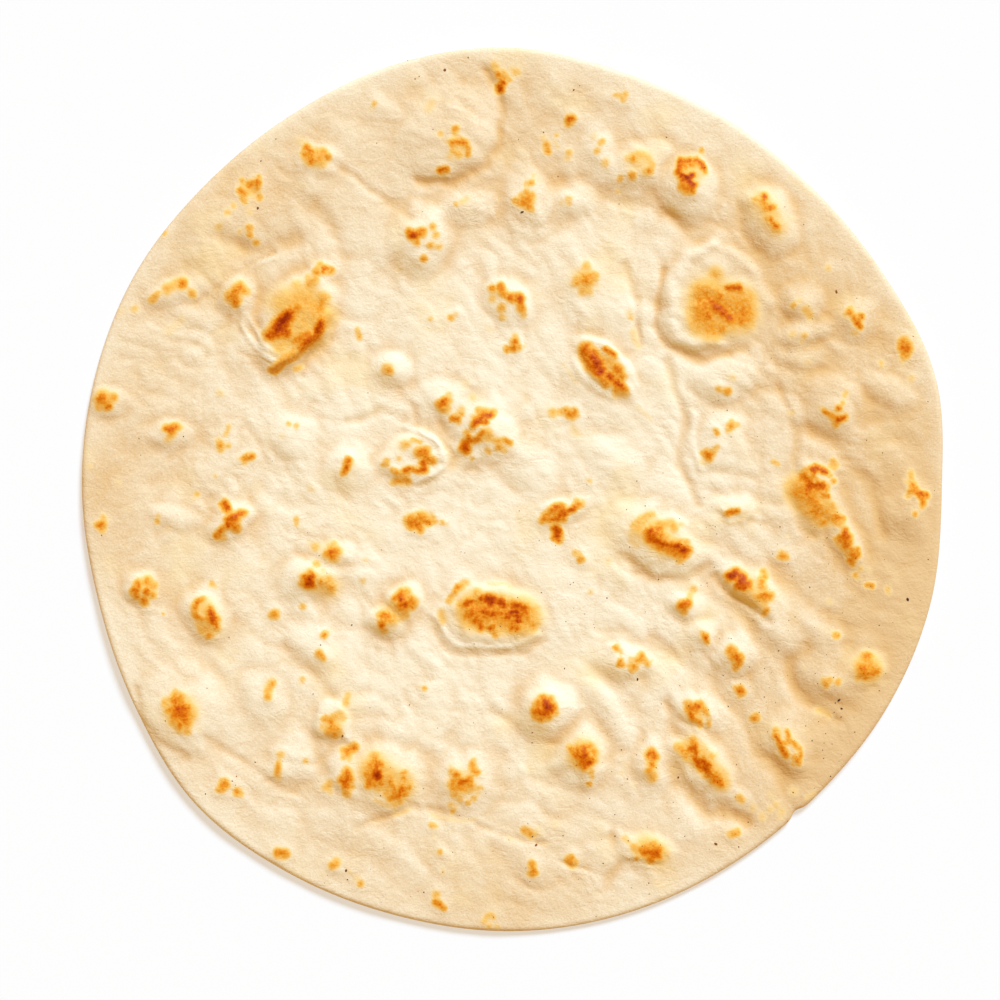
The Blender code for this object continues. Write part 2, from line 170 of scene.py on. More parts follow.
# Puckers of the skin, rounded folds between narrow creases: height, wavelength, length to width, turn.
# In wide patches they fade to a share of their depth
PUCKERS = ((1.2, 16.0, 1.5, -48.0), (0.85, 8.0, 1.7, -38.0), (0.5, 4.6, 1.5, -56.0), (0.3, 2.8, 1.3, -20.0))
PUCKER_WARPS = ((9.0, 62.0), (2.2, 12.0))
PUCKER_SEED = 41.0
PUCKER_RIM = 0.25
PUCKER_TAPER = 14.0
FADE_WIDTH = 3.5
FADE_LEVELS = (-0.55, 0.45)
FADED = 0.4
CREASE_ROUNDING = 0.004
MEAN_FOLD = 0.24

# Browned marks of the upper side: heat (1 yellow, 2 orange, 3 brown, 4 dark), half width, points of a line
MARKS = (
    # golden washes round the larger marks
    (1.15, 4.5, 40, -12, 46, -16), (1.7, 4, 86, 0, 93, -7), (1.3, 3, 54, -77, 62, -86),
    (1.2, 4.5, 21, -79), (1.2, 3.5, 40, -107, 44, -109), (1, 4, 69, -28, 74, -32), (1.2, 3, 55, -67),
    (1.4, 4, -99.5, -66), (1.3, 5, -41, -84, -34, -89), (1.2, 4, -15, -88),
    (1.1, 3.5, -92, -36, -90, -41), (1.1, 3.5, -60, -27, -55, -29), (1.1, 3, -54, -18.5),
    (1.1, 3.5, -32, -33, -37, -38), (1.2, 4, 53, 95), (1.1, 3.5, 75, 86, 79, 79), (1.2, 3.5, 21.5, 63),
    (0.9, 4, 38, 98),
    # golden skin of the tall blister, upper left
    (1.3, 4.4, -67, 56, -62, 57), (1.4, 4.2, -60, 55, -57, 52), (1.3, 4, -63.5, 51, -60, 46),
    (1.3, 3, -69, 43, -66, 46),
    # upper left, by the rim
    (2.7, 0.8, -76.4, 92), (2.2, 0.8, -77.5, 91.8, -79, 91.5), (1.8, 0.5, -75.8, 93.7),
    (1.9, 0.5, -81.2, 92.8), (1.5, 0.6, -80.7, 91.7), (2.2, 0.7, -81.2, 89.7), (2.0, 0.8, -80, 89),
    (1.7, 0.7, -80.8, 87.8, -80, 86.5), (1.8, 0.7, -76, 88, -75.7, 87.3), (1.0, 1.0, -77.5, 89.5),
    (1.8, 0.6, -76.8, 90.5), (1.1, 2.6, -78.5, 90), (0.8, 1.2, -78.5, 83.5), (1.2, 0.7, -83.5, 85.3),
    (1.2, 0.9, -85.2, 83), (1.0, 1.1, -88, 79), (1.0, 0.7, -81.5, 77.3), (2.0, 0.7, -78.6, 78.5),
    (2.0, 0.6, -78.5, 76.5), (1.9, 0.7, -76.8, 74.2), (1.3, 0.7, -104.3, 76.8), (2.5, 1.0, -61.5, 102.5),
    (2.7, 0.7, -60.3, 101.5), (2.6, 0.9, -60, 98.5), (2.0, 1.2, -62, 100.5, -60, 100),
    (1.8, 1.1, -58.5, 101, -58, 99.5), (2.0, 1.0, -56.3, 101.2), (2.2, 0.8, -55.3, 99.8),
    (1.4, 1.5, -61, 99, -57, 98), (0.7, 1.5, -63.5, 105, -62, 104), (1.5, 0.6, -41.3, 115.8),
    (0.6, 1.2, -42.3, 114.3), (0.4, 1.5, -62, 91, -64, 92), (0.8, 1.4, -24, 116, -25, 114.5),
    (0.4, 1.3, -21.5, 118), (0.4, 1.0, -18.5, 116), (0.5, 0.8, -28, 124),
    (1.7, 0.8, -107.9, 56.9, -106.5, 58.6), (1.1, 1.0, -113.2, 54.2), (0.6, 1.5, -117, 53.5),
    (1.5, 1.4, -103.3, 60, -101, 61.5, -98.7, 62.4), (2.5, 1.1, -98.7, 61.5), (1.7, 1.1, -95.9, 59),
    (0.6, 1.8, -103, 47.5, -99, 51), (2.4, 1.6, -84, 58, -81.5, 60.3), (1.7, 1.1, -79.8, 59.5),
    (2.9, 1.2, -82.6, 56.3), (0.8, 1.2, -87.5, 29),
    # the tall blister, upper left
    (0.95, 4.0, -70, 56, -62, 58, -58, 55, -60, 50), (4.2, 1.5, -70, 48.5, -67.5, 51.5),
    (3.0, 1.8, -72, 46.5, -66.5, 52.5), (2.4, 1.1, -64.3, 54.3), (2.9, 0.9, -72.5, 45.7, -67, 47),
    (1.8, 1.3, -56.5, 57.5, -57.5, 54.5), (3.9, 0.9, -58.2, 47.8, -57, 50),
    (3.0, 0.9, -57.8, 47.5, -60, 45, -63, 42.3), (2.6, 1.3, -61.5, 46, -64.5, 44.5),
    (1.8, 0.9, -65, 41.5, -69, 38.5, -72, 36), (1.7, 0.5, -63, 41, -71, 35.3),
    (1.8, 1.2, -60.5, 61.5, -59, 62.5), (1.2, 1.6, -64.5, 61.5), (3.0, 0.9, -56, 66),
    (2.3, 0.8, -54.3, 65.5), (2.1, 1.0, -58.3, 65.3), (1.3, 0.8, -61.2, 63.7), (1.5, 1.0, -57.5, 67.3),
    # the small marks round it
    (1.3, 0.7, -46.1, 48, -45.8, 45.5), (1.7, 0.4, -46, 46), (1.3, 0.5, -24.5, 51.2),
    (1.9, 0.6, -18.3, 51.6), (1.0, 0.5, -16.8, 52.8), (1.9, 1.3, -37.2, 36), (2.1, 0.8, -36.5, 35.5),
    (1.4, 0.8, -65, 36, -63.3, 37), (1.4, 0.5, -66.8, 19.7), (1.4, 0.6, -64.5, 19.2), (0.6, 1.0, -69, 16),
    # top
    (1.2, 1.3, -5.3, 127, -4.5, 126), (2.8, 0.7, -4, 124.5), (1.6, 1.0, -2.5, 125), (2.0, 0.8, -2, 123.8),
    (3.6, 0.6, -2.7, 122.2), (3.4, 0.9, -3.6, 120.8), (2.6, 1.0, -3.8, 120.3), (1.2, 1.2, 1.3, 125.3),
    (1.6, 0.5, -0.8, 122.8), (0.8, 1.4, 0.5, 126), (3.4, 0.9, 17.5, 111.3), (2.1, 1.0, 17.3, 110),
    (0.9, 0.9, 9.5, 105.7), (1.7, 0.8, 10.3, 103.5, 10.5, 102), (2.2, 0.6, 10.7, 101.2),
    (1.3, 0.5, 13.4, 106.4), (0.8, 0.4, 12.8, 104.3, 13.8, 102.8), (1.3, 0.8, 17.3, 101.3),
    (0.9, 1.0, 16.7, 99.5), (1.5, 0.9, 27, 104), (1.4, 0.7, 25.6, 101.4), (0.7, 1.0, 24.5, 106),
    (1.1, 1.0, 28, 98.5, 28, 97.5), (1.4, 0.7, 34, 118.7), (1.5, 0.8, 33.3, 117.2),
    (1.3, 0.5, 31, 118.3, 32.3, 118.2), (2.1, 0.8, -16.8, 108), (1.2, 0.9, -17, 106.5),
    (1.3, 0.7, -21.3, 106.5), (0.8, 0.6, -19.7, 104.5), (2.3, 0.9, -18, 103.8, -15.5, 104.3, -14, 103.6),
    (2.0, 0.7, -13, 102, -13.2, 100.3), (1.7, 0.9, -17.5, 101.5, -16, 100.4), (0.9, 1.2, -18.5, 99.5),
    (1.0, 1.0, -15.5, 101.8), (3.0, 0.6, -21.6, 95.4, -19.7, 95.8), (1.0, 0.7, -21, 94.7),
    (2.3, 0.5, 5.9, 91.9), (1.2, 1.0, 4.5, 91.6), (0.9, 0.6, 6.5, 94), (0.6, 0.6, 8, 92.7),
    (2.0, 0.6, 4.5, 89.3), (2.2, 1.5, 5, 87, 4, 86.5), (2.3, 0.6, 1, 86.6), (2.1, 0.9, 2.5, 86),
    (2.2, 0.8, 5, 84.8), (1.5, 0.6, 6, 84), (1.8, 0.8, 6, 88), (1.4, 0.9, 3, 88), (1.2, 0.8, 17, 87.2),
    (1.1, 0.6, 17.2, 85.7), (0.7, 1.0, 15, 86), (1.5, 0.6, -16.8, 85.7), (0.8, 1.2, -13.8, 87),
    (0.9, 0.9, -15, 86.3), (0.5, 0.8, -13, 83),
    # below the top, and along the upper right
    (4.2, 1.1, -29.2, 76.2), (2.5, 0.8, -30.7, 77.3), (2.8, 1.0, -27, 77), (2.1, 0.9, -28.5, 74),
    (1.6, 0.8, -23.7, 78.8), (1.5, 0.8, -22.7, 76.2), (1.8, 0.8, -24.2, 73.2), (1.2, 0.9, -22, 72.5),
    (2.1, 0.7, -26.4, 69.1), (0.6, 1.0, -33.8, 66.3), (3.2, 0.7, 50.8, 98.7, 50.3, 97, 49.8, 95.3),
    (2.2, 0.9, 51.8, 97.5), (3.1, 0.6, 53.5, 99), (2.4, 0.8, 52.5, 98.6), (3.0, 0.6, 55, 99.2, 56.3, 98),
    (3.2, 0.5, 56.3, 98, 57.4, 95.7), (2.0, 0.4, 57.6, 94.7), (2.2, 1.0, 54, 97.5),
    (2.0, 0.9, 51.5, 96.5), (3.9, 0.5, 50.5, 94, 52, 93.8), (4.2, 0.5, 53.8, 94.2), (4.6, 0.8, 52.5, 93),
    (4.2, 0.5, 53, 91.8, 54.5, 91), (3.0, 0.8, 51.2, 92.5), (2.6, 0.9, 51, 91, 54, 90.5),
    (2.4, 1.0, 52.3, 89.5), (2.8, 0.6, 54, 89.3), (2.0, 0.7, 50.5, 90.5), (0.7, 0.9, 56.8, 94),
    (1.6, 0.6, 57, 101.5), (0.5, 0.4, 60.3, 100), (2.2, 0.8, 36.2, 99.2),
    (1.2, 1.1, 34.8, 99.5, 38, 100.6, 40.5, 100, 41.5, 97.5), (2.1, 1.0, 41.2, 95.5),
    (1.3, 1.0, 40, 94.8), (2.3, 0.7, 36.2, 93.9), (1.3, 0.7, 35.5, 94.3), (1.5, 0.6, 32.3, 93),
    (1.2, 0.4, 31.8, 89.7), (1.2, 0.8, 42.2, 97), (2.9, 0.6, 75.5, 87.5), (2.1, 0.8, 75.5, 88),
    (1.5, 0.8, 73, 87), (1.9, 1.1, 75, 86), (2.8, 0.6, 76.7, 84), (2.0, 0.8, 75.5, 84.5, 78, 84.5),
    (2.8, 0.6, 77.5, 81), (1.6, 0.8, 76.5, 81.2), (2.9, 0.8, 79, 79), (1.8, 0.9, 79.3, 78),
    (2.0, 0.8, 78.3, 80), (0.6, 1.1, 84, 81.5), (0.5, 0.7, 83, 93.5, 87, 91, 90, 89),
    (0.4, 0.8, 68, 92.5, 70, 94.5), (0.4, 0.6, 72, 97, 73.5, 98.5), (0.4, 1.2, 91, 80.5),
    # upper middle
    (2.3, 1.0, -5.9, 60.3), (2.9, 0.8, -3.1, 60.9), (2.5, 1.1, -2.6, 59), (3.2, 1.0, -0.1, 57.5),
    (3.6, 0.9, 2.3, 57.3), (2.8, 0.6, 2.3, 58.3), (3.3, 0.7, 2.3, 55.8), (2.4, 0.9, 2.8, 54.2),
    (1.3, 0.9, 3.4, 52.5), (1.2, 1.1, -5.9, 57.3), (1.8, 1.0, -3.1, 54.5), (1.3, 0.9, -2.7, 51.6),
    (0.5, 1.5, -7.1, 48.3), (2.8, 0.8, 1, 44.4), (2.6, 0.8, 0.6, 42.5), (2.4, 0.7, -1.4, 42.3),
    (2.0, 0.6, 2.1, 42.5), (1.4, 0.7, 1, 46.1), (1.0, 0.4, 4, 42.9), (1.6, 1.1, 22.2, 67.1),
    (2.4, 1.7, 22.4, 62.9), (2.0, 1.0, 19.4, 62.6), (1.9, 1.3, 24.4, 64.1), (1.4, 1.3, 21.1, 59.4),
    (1.2, 1.0, 23.3, 59.4), (1.2, 0.7, 35.7, 51.5), (0.8, 1.2, 35.5, 52.8), (0.8, 0.9, 36, 47.5, 38, 43),
    (3.0, 1.5, 22, 42.3), (3.8, 1.4, 24.1, 40.1), (4.3, 1.6, 25.4, 38), (4.0, 1.2, 26.7, 35.4),
    (3.8, 1.0, 29.3, 33.7), (4.0, 0.9, 31.4, 32), (3.4, 0.9, 32.7, 31.1), (2.6, 0.9, 33.6, 30.1),
    (2.5, 1.2, 21.5, 41, 23, 37.5, 27, 33.5), (2.9, 0.5, 28, 42.3, 30.6, 40.6), (1.6, 2.0, 29.3, 38.4),
    (2.6, 1.5, 31.4, 35.9), (2.4, 1.1, 33.1, 34.1), (2.3, 1.1, 28.4, 32), (2.2, 1.0, 31.4, 29.9),
    (1.0, 1.1, 31, 28.5, 34, 28.5), (0.6, 0.5, 15, 38, 19.5, 32), (1.4, 1.1, 12.3, 22.8),
    (1.9, 0.6, 16, 24, 15.7, 23.5), (2.3, 0.9, 17.2, 22.8), (2.3, 0.8, 18.8, 23.2), (1.6, 1.0, 18, 22),
    (1.3, 0.7, 19.7, 22.7), (1.4, 0.8, 14.3, 23.5), (0.7, 1.5, 18.5, 18.5, 19.5, 17),
    # the round blister at the upper right
    (1.9, 6.3, 60, 56, 66, 54), (1.8, 3.4, 57, 59, 56.5, 50, 60, 48), (1.7, 2.9, 70, 57, 70, 51),
    (1.5, 2.1, 61, 64.5), (2.9, 1.5, 62, 54.5), (2.9, 1.2, 61, 55, 64, 52.5, 65.5, 51),
    (2.6, 1.2, 59.5, 56.5), (3.0, 0.9, 65, 60.5, 68, 60.2), (2.4, 1.2, 62, 58), (2.4, 1.3, 59, 52),
    (2.3, 1.2, 69, 50.5), (2.1, 1.2, 63, 48.5), (2.0, 1.0, 69.5, 54.5),
    # right
    (1.9, 0.5, 84.3, 55.1), (0.9, 0.9, 86, 56.5), (1.2, 1.2, 88, 54, 89.3, 52), (2.4, 0.9, 101.3, 53.3),
    (1.4, 0.6, 101.7, 54.8), (2.9, 0.8, 104.5, 51.8), (2.6, 0.9, 102.8, 51.2),
    (2.8, 0.7, 103.5, 49.7, 104.3, 49), (1.0, 0.8, 102.8, 47), (1.0, 0.9, 99.8, 52.5),
    (2.3, 1.1, 117.8, 44.5), (2.5, 1.0, 117, 42.8, 119, 42.2), (2.2, 1.1, 118, 40.6),
    (1.8, 0.8, 119.3, 43.5), (1.5, 0.7, 116.5, 44.5), (1.1, 1.0, 117.5, 39), (1.2, 0.8, 110.9, 38),
    (0.8, 0.6, 111.2, 36.7), (0.9, 1.2, 119.8, 33.5), (0.5, 1.4, 117, 36), (1.3, 0.8, 87.7, 46.2),
    (0.9, 0.8, 87, 44.3), (0.9, 1.3, 84, 46.7), (0.7, 1.3, 88.8, 38.5), (1.0, 1.0, 95, 66.5),
    (2.6, 0.6, 97.7, 24.2), (1.8, 0.5, 98.8, 25.8), (1.2, 0.8, 99.5, 28.3), (1.1, 0.5, 100.3, 29.3),
    (2.1, 0.6, 93.4, 23.9, 95.3, 22.8), (2.0, 0.7, 96, 22), (3.0, 0.5, 97.3, 21.2, 99.3, 21.2),
    (2.0, 0.7, 99.8, 21.8), (1.9, 0.9, 97, 19.8), (0.7, 0.7, 92, 24.8), (0.8, 1.1, 84, 23),
    (2.3, 0.9, 64.6, 29.6), (1.6, 0.7, 62, 30.3), (0.8, 1.1, 66, 33.5), (2.0, 0.8, 66, 19.2),
    (1.8, 0.6, 65, 19.2), (1.3, 0.7, 67.5, 19.5), (1.5, 0.6, 65.7, 20.3), (1.3, 0.7, 65, 17.8),
    (2.0, 0.5, 61.2, 17), (1.5, 0.5, 61, 18), (3.1, 0.9, 59, 10.3), (2.1, 0.7, 57.7, 11),
    (1.9, 0.7, 60.3, 11), (2.0, 0.7, 59, 9.2), (1.3, 0.6, 61, 12, 61.5, 12.8), (1.8, 0.7, 58.7, 11.7),
    (0.8, 0.6, 56.8, 8.7, 57.8, 7.8), (0.6, 0.7, 37.6, 24.7, 41.4, 21.3),
    (1.5, 0.8, 119.8, 5, 119.8, 3.5), (2.3, 1.0, 120.3, 1.5, 120.8, 0.3), (2.2, 0.8, 119.5, -0.3),
    (2.8, 0.7, 121, -0.8, 122, -1.3), (2.6, 0.8, 123, -1.5, 124.3, -1.8), (2.5, 0.7, 122.5, -2.5),
    (2.5, 0.7, 123.3, -3.8), (1.9, 0.6, 122.8, -4.7), (1.5, 0.8, 118.5, -2), (1.9, 0.6, 120.5, -6.8),
    (1.3, 0.6, 120.7, -7.6), (1.0, 1.0, 118.7, 2.5),
    # the large torn blister, right
    (3.3, 0.6, 90, 6, 92, 6.3, 94, 5.2), (3.6, 0.5, 93.5, 5.3), (2.3, 0.6, 91, 7), (1.9, 0.5, 95.3, 4),
    (2.2, 0.5, 96.3, 2.3), (2.3, 0.7, 90.5, 5.3), (1.4, 0.5, 97, 2.6), (1.5, 0.9, 96.3, 8.5, 96.5, 7),
    (1.0, 0.7, 97.5, 7.5), (1.3, 0.6, 95.5, 7), (2.8, 1.0, 87.5, 4, 88.5, 2.5),
    (3.3, 0.7, 89, 2, 89.5, 0.8), (3.2, 0.7, 90.5, 1, 93, 1.3), (2.7, 0.8, 92, 0.3, 94, 0.5),
    (2.9, 0.9, 88.5, 0.5, 88.5, -1), (2.5, 0.9, 89, -2.5), (2.3, 1.0, 90.3, -0.8), (1.6, 1.1, 86.3, 3.5),
    (1.6, 1.2, 85.5, 0.5, 86, -1.5), (1.7, 0.7, 91.3, 2.8), (1.9, 0.8, 90, 4),
    (2.3, 0.6, 93, -1.5, 94.5, -1.8), (0.8, 1.0, 84.5, 5), (1.6, 0.8, 88, 5.5),
    (2.2, 1.0, 90.5, -4, 91.8, -5.5), (2.1, 0.8, 90.8, -7), (1.8, 0.6, 88, -6.8, 89.2, -7),
    (1.1, 1.2, 86.5, -5.5, 88.5, -4.5), (1.5, 1.2, 91.5, -8.3), (2.3, 0.7, 93.5, -10),
    (1.6, 0.6, 92.3, -10.5), (1.9, 0.6, 94.5, -9.3), (2.3, 0.7, 96, -8.5, 97.5, -8.3),
    (2.0, 0.6, 98.5, -8.5, 99.5, -8.9), (2.1, 0.8, 97, -9.3), (1.4, 0.7, 95.8, -4, 96.3, -6),
    (1.1, 1.2, 93, -6.5, 94, -8), (1.6, 0.8, 98.5, -10), (0.9, 2.6, 88, -2, 92, -7),
    (3.2, 0.9, 99.8, -13, 99, -14), (2.9, 0.9, 100.5, -13.8), (2.3, 0.8, 100, -11.8),
    (2.6, 1.0, 98.5, -15, 100.5, -15.5), (1.7, 0.7, 97.3, -14.8), (2.2, 1.0, 99.5, -17),
    (2.5, 0.7, 100.3, -16.6), (2.0, 0.8, 101.5, -18), (2.2, 0.7, 103.3, -18.3),
    (2.5, 0.8, 101.7, -19.3, 103, -20.3), (2.6, 0.7, 101.5, -21.3), (2.0, 0.7, 102, -22),
    (1.8, 0.7, 103.8, -19.5), (1.6, 0.7, 100.5, -18.8), (1.2, 0.7, 97.5, -16.3), (1.8, 0.6, 103, -25.3),
    (1.1, 0.8, 104.5, -23.5), (1.0, 0.5, 102.5, -24.8), (2.0, 0.6, 106.5, -28.5, 108, -28.8),
    (0.9, 0.7, 104, -26.5), (0.6, 0.9, 107, -24), (1.2, 1.0, 112.8, -29.8), (0.9, 0.7, 112.8, -30.8),
    # right of the middle
    (2.6, 0.5, 65, -6.8, 67.5, -6.3), (1.3, 0.5, 64.2, -7.3), (1.8, 0.4, 67.5, -6),
    (0.6, 0.5, 62, -8, 62.5, -9.8, 65.5, -10.3, 68.5, -9.3, 70, -7), (1.3, 0.5, 78.5, 8.5, 80, 8),
    (2.3, 0.6, 81.3, -19.7), (2.1, 0.6, 81, -19.3, 82.3, -20), (1.4, 0.5, 80, -20),
    (0.6, 1.1, 80.5, -18.3), (0.5, 1.0, 82.8, -14.3), (0.4, 1.5, 72, -13), (4.0, 1.2, 66.3, -26),
    (3.7, 1.5, 68.5, -27.5), (3.5, 1.0, 65.5, -26), (3.2, 1.0, 67, -24.8), (3.5, 1.1, 69, -26),
    (3.2, 1.0, 70.5, -28), (3.2, 1.0, 67.5, -28.7), (3.0, 0.8, 69.5, -29.2), (2.3, 0.6, 71.5, -29.2),
    (1.7, 0.9, 75.5, -24.7), (2.1, 0.9, 74.8, -27, 74.9, -29), (2.5, 1.1, 75.5, -31.5),
    (2.1, 1.0, 74, -32.3, 77, -32), (1.3, 1.1, 75.5, -34), (2.1, 0.7, 76, -36), (1.8, 0.6, 75.5, -37),
    (1.6, 0.9, 77.2, -31.5), (1.3, 0.8, 73, -32), (1.7, 0.8, 76, -26), (0.8, 0.9, 95, -33.5),
    (1.3, 1.0, 54.5, -29.5), (1.2, 0.9, 53.5, -31.5), (2.9, 1.0, 50.8, -34.6, 52.5, -34),
    (2.0, 0.9, 51.5, -36.3), (0.7, 1.0, 29, -21.3), (0.9, 0.7, 23.5, -30.5),
    # the hooked blister, right of the middle
    (1.3, 0.9, 42, -7.4, 38.5, -8.8, 36.3, -11),
    (0.8, 0.8, 36.3, -11, 35.3, -13.5, 36, -15.5, 37.5, -16.8), (1.3, 1.0, 41, -8, 38, -10, 37.5, -12),
    (1.6, 1.4, 43.5, -10.5), (2.2, 1.2, 42, -12), (1.4, 1.1, 45, -10.3, 47.5, -9.8),
    (1.7, 0.9, 48.5, -10.8), (0.9, 0.9, 50.5, -10.3), (1.3, 0.6, 48.3, -11.8), (2.3, 1.2, 44, -12),
    (3.3, 0.9, 41.2, -12.5, 41.5, -14.5, 43.3, -15.3, 45, -16),
    (3.3, 0.6, 45.5, -16.2, 47.5, -16.7, 49.7, -16.5), (3.5, 0.9, 49.5, -16.8, 50.7, -18, 52.3, -17.8),
    (3.8, 0.5, 51.7, -17.5), (3.0, 0.8, 50.8, -18.8),
    (2.1, 1.0, 40, -13, 41, -15.3, 44, -17.2, 48, -18.5, 50.5, -20), (1.9, 1.0, 46, -14),
    (2.5, 0.7, 51.5, -20.2, 52.5, -19.3), (2.3, 0.7, 53.3, -18), (1.5, 0.9, 50, -21),
    (1.6, 0.7, 48, -15.4, 52.5, -15.6), (2.5, 0.9, 43, -13.5, 44.5, -14),
    # left, by the rim
    (2.2, 2.0, -122.5, 27.3), (2.6, 1.0, -123, 27.7), (2.5, 0.9, -121, 25), (2.0, 0.9, -119.3, 27.5),
    (1.6, 0.7, -123.8, 24.8), (3.4, 0.8, -102.3, 18.2), (2.6, 0.9, -103.5, 18.5), (2.5, 0.9, -101, 19),
    (2.3, 1.0, -102, 16.8), (1.6, 0.9, -100, 18.7), (1.0, 1.0, -103, 15), (2.2, 0.8, -87.3, 13.3),
    (1.4, 0.9, -87.6, 12.2), (1.4, 0.6, -85, 13.3), (1.1, 0.6, -84.8, 18.8, -86, 16.5),
    (1.0, 0.9, -88, 14.8), (2.5, 0.7, -79.5, 9.9, -78, 10), (2.2, 0.6, -80.3, 9.5), (0.8, 0.6, -82, 9.5),
    (1.2, 0.9, -80, 8.3), (0.9, 0.6, -89, 4), (0.4, 0.7, -91, 1), (1.4, 0.6, -94.4, -1.2),
    (0.7, 0.7, -95.5, -2.2), (3.3, 0.7, -86.3, -3.9), (3.6, 0.8, -85.6, -5.2), (2.2, 0.6, -87, -4.5),
    (2.0, 0.8, -84.8, -6.3), (2.9, 0.8, -83.5, -8, -81.2, -7), (3.0, 1.0, -85, -9, -82.5, -8.5),
    (3.6, 0.6, -85, -10.8), (2.6, 1.0, -83.5, -10.5, -82.5, -11.5),
    (2.5, 0.8, -86.5, -11.8, -88.5, -13.5), (1.5, 0.8, -88.5, -14, -86.5, -14.5), (2.0, 0.8, -80.3, -7),
    (2.5, 1.0, -122.8, -10.5), (1.8, 0.9, -122.5, -12), (1.8, 0.6, -124.3, -10.3),
    (1.3, 1.0, -122.5, -8.5), (0.8, 0.8, -126.7, 7), (0.6, 1.2, -118, 2.2), (0.5, 1.1, -115, -5.5),
    (1.5, 0.6, -106.4, -9.4), (1.0, 0.6, -105.8, -8), (0.6, 1.2, -103, -11.5), (0.4, 1.1, -99, -13),
    (3.0, 0.9, -112.6, -30), (2.4, 1.0, -111.8, -28.2), (2.4, 0.9, -112.3, -31.8),
    (3.0, 0.9, -109.2, -30.3), (2.2, 1.1, -109, -27.3), (2.0, 0.9, -107.2, -28.7),
    (2.6, 1.0, -110, -33.2), (2.1, 0.9, -107.5, -31.5), (1.8, 0.8, -113.5, -30.5), (1.4, 0.6, -90, -28.3),
    (0.9, 0.5, -89, -29.2), (1.5, 0.3, -104.3, -37.2), (2.9, 0.7, -93.7, -33.2), (2.0, 0.7, -92.5, -32.7),
    (2.3, 0.7, -94.8, -34.7), (2.2, 0.8, -94.7, -34.5, -95, -36.5),
    (2.2, 0.7, -94.5, -37.8, -93.3, -38.5), (1.2, 0.7, -94, -40.5, -93, -42),
    (3.7, 0.8, -90, -37.5, -89.8, -39), (3.2, 0.7, -90.2, -36.5), (2.4, 0.6, -90.5, -35.8),
    (2.7, 0.8, -89, -39.5, -88.5, -40.8), (2.2, 0.7, -88.3, -38.3), (1.9, 0.7, -89, -41.5),
    (2.0, 0.6, -91.3, -38.5), (1.5, 0.9, -91, -41, -92.5, -42.3), (2.2, 0.7, -90.5, -43.5),
    (1.5, 0.6, -91.3, -44), (1.2, 0.7, -92.8, -40), (1.5, 4.3, -99, -66.5), (3.0, 2.2, -99, -66),
    (3.3, 0.8, -100.2, -65.2), (3.0, 1.4, -98, -67.5), (2.9, 1.0, -101, -67.5), (2.7, 1.3, -97.3, -65.5),
    (2.4, 1.1, -100.8, -62.8), (1.6, 1.1, -103.5, -63.5), (1.6, 1.0, -100.5, -60.8),
    (2.0, 1.1, -98.8, -62), (2.3, 1.3, -97.3, -69.3), (2.4, 1.1, -99.5, -70), (1.7, 1.1, -97.3, -72),
    (1.4, 0.9, -99.5, -72), (1.8, 1.0, -96, -67.5), (1.9, 0.9, -102.3, -66), (1.6, 1.0, -101.8, -69.5),
    (0.5, 1.2, -93.5, -71.5),
    # left of the middle
    (2.8, 0.7, -50.3, 5.3, -49.7, 7, -48.8, 9), (1.0, 1.4, -49, 8), (3.1, 0.4, -50, 6.5),
    (0.7, 1.1, -60.3, 0.3), (1.6, 0.7, -64.7, -8.8), (1.2, 0.7, -64.8, -10.3),
    (0.4, 0.5, -63.5, -11.5, -59, -12), (1.3, 1.0, -58.8, -17.2), (0.7, 0.8, -60.5, -16.3),
    (1.3, 0.7, -53.5, -15.8), (1.6, 1.0, -53.7, -17.5), (3.3, 0.8, -54.2, -19), (2.3, 1.1, -52.3, -18.5),
    (2.1, 1.2, -53.3, -20.3), (1.9, 0.6, -55.8, -19.2), (1.5, 0.9, -58.5, -22), (0.8, 0.7, -56.3, -24),
    (4.0, 1.1, -60.5, -27), (4.2, 1.0, -61, -28.3), (3.2, 0.8, -59.8, -25.8), (2.8, 1.0, -61.8, -26.5),
    (3.0, 0.8, -59.3, -28.5), (1.6, 0.9, -60.5, -24.6), (2.0, 0.7, -62.8, -28), (2.3, 0.7, -56.8, -27.3),
    (1.5, 0.9, -55, -27), (2.0, 0.9, -54.2, -29.3), (1.4, 0.7, -55.6, -28.4), (1.6, 0.5, -53.8, -30.2),
    (1.0, 0.6, -44.8, -27.2), (0.5, 0.8, -45, -28.5), (0.8, 0.8, -43.8, -21), (1.3, 1.5, -32, 13.5),
    (1.5, 0.5, -31, 13.5), (1.4, 0.5, -29.5, 15.2, -27.5, 14.5), (2.5, 1.1, -27.5, 11, -26, 11.5),
    (2.2, 1.0, -26, 10, -25, 9), (3.0, 0.8, -26.5, 8, -26.3, 6), (2.0, 0.9, -23.8, 8.8),
    (1.8, 0.9, -28, 11.8), (2.9, 0.5, -32, 5.8, -30.5, 6.2, -28.5, 5.8, -26.3, 5.8),
    (2.2, 0.5, -35.8, 5.9, -34, 5.2), (1.5, 0.6, -33, 5, -31, 4.7), (1.6, 0.5, -37.5, 7.5, -37.3, 8.8),
    (1.3, 0.5, -38.7, 7.3), (1.1, 0.7, -34, 9.5), (1.9, 0.8, -34.5, 2.8, -31.5, 2.8),
    (1.2, 0.8, -36, 2.3, -31, 2), (2.4, 1.5, -30.5, -9.5, -27, -8.3), (2.8, 1.0, -28, -10.2),
    (2.5, 1.0, -30.2, -10.8), (2.1, 1.0, -27.5, -11.8), (2.6, 1.0, -25.5, -9.3), (2.8, 0.5, -24.8, -10),
    (1.7, 0.6, -23, -9.8), (1.7, 0.8, -24, -8.3), (1.7, 0.4, -20.8, -9.8), (0.8, 0.5, -19.3, -10.5),
    (0.8, 0.7, -24.3, -6.8), (3.3, 0.9, -33.2, -32.6), (3.4, 0.9, -32, -34.4), (2.6, 1.0, -33, -31.2),
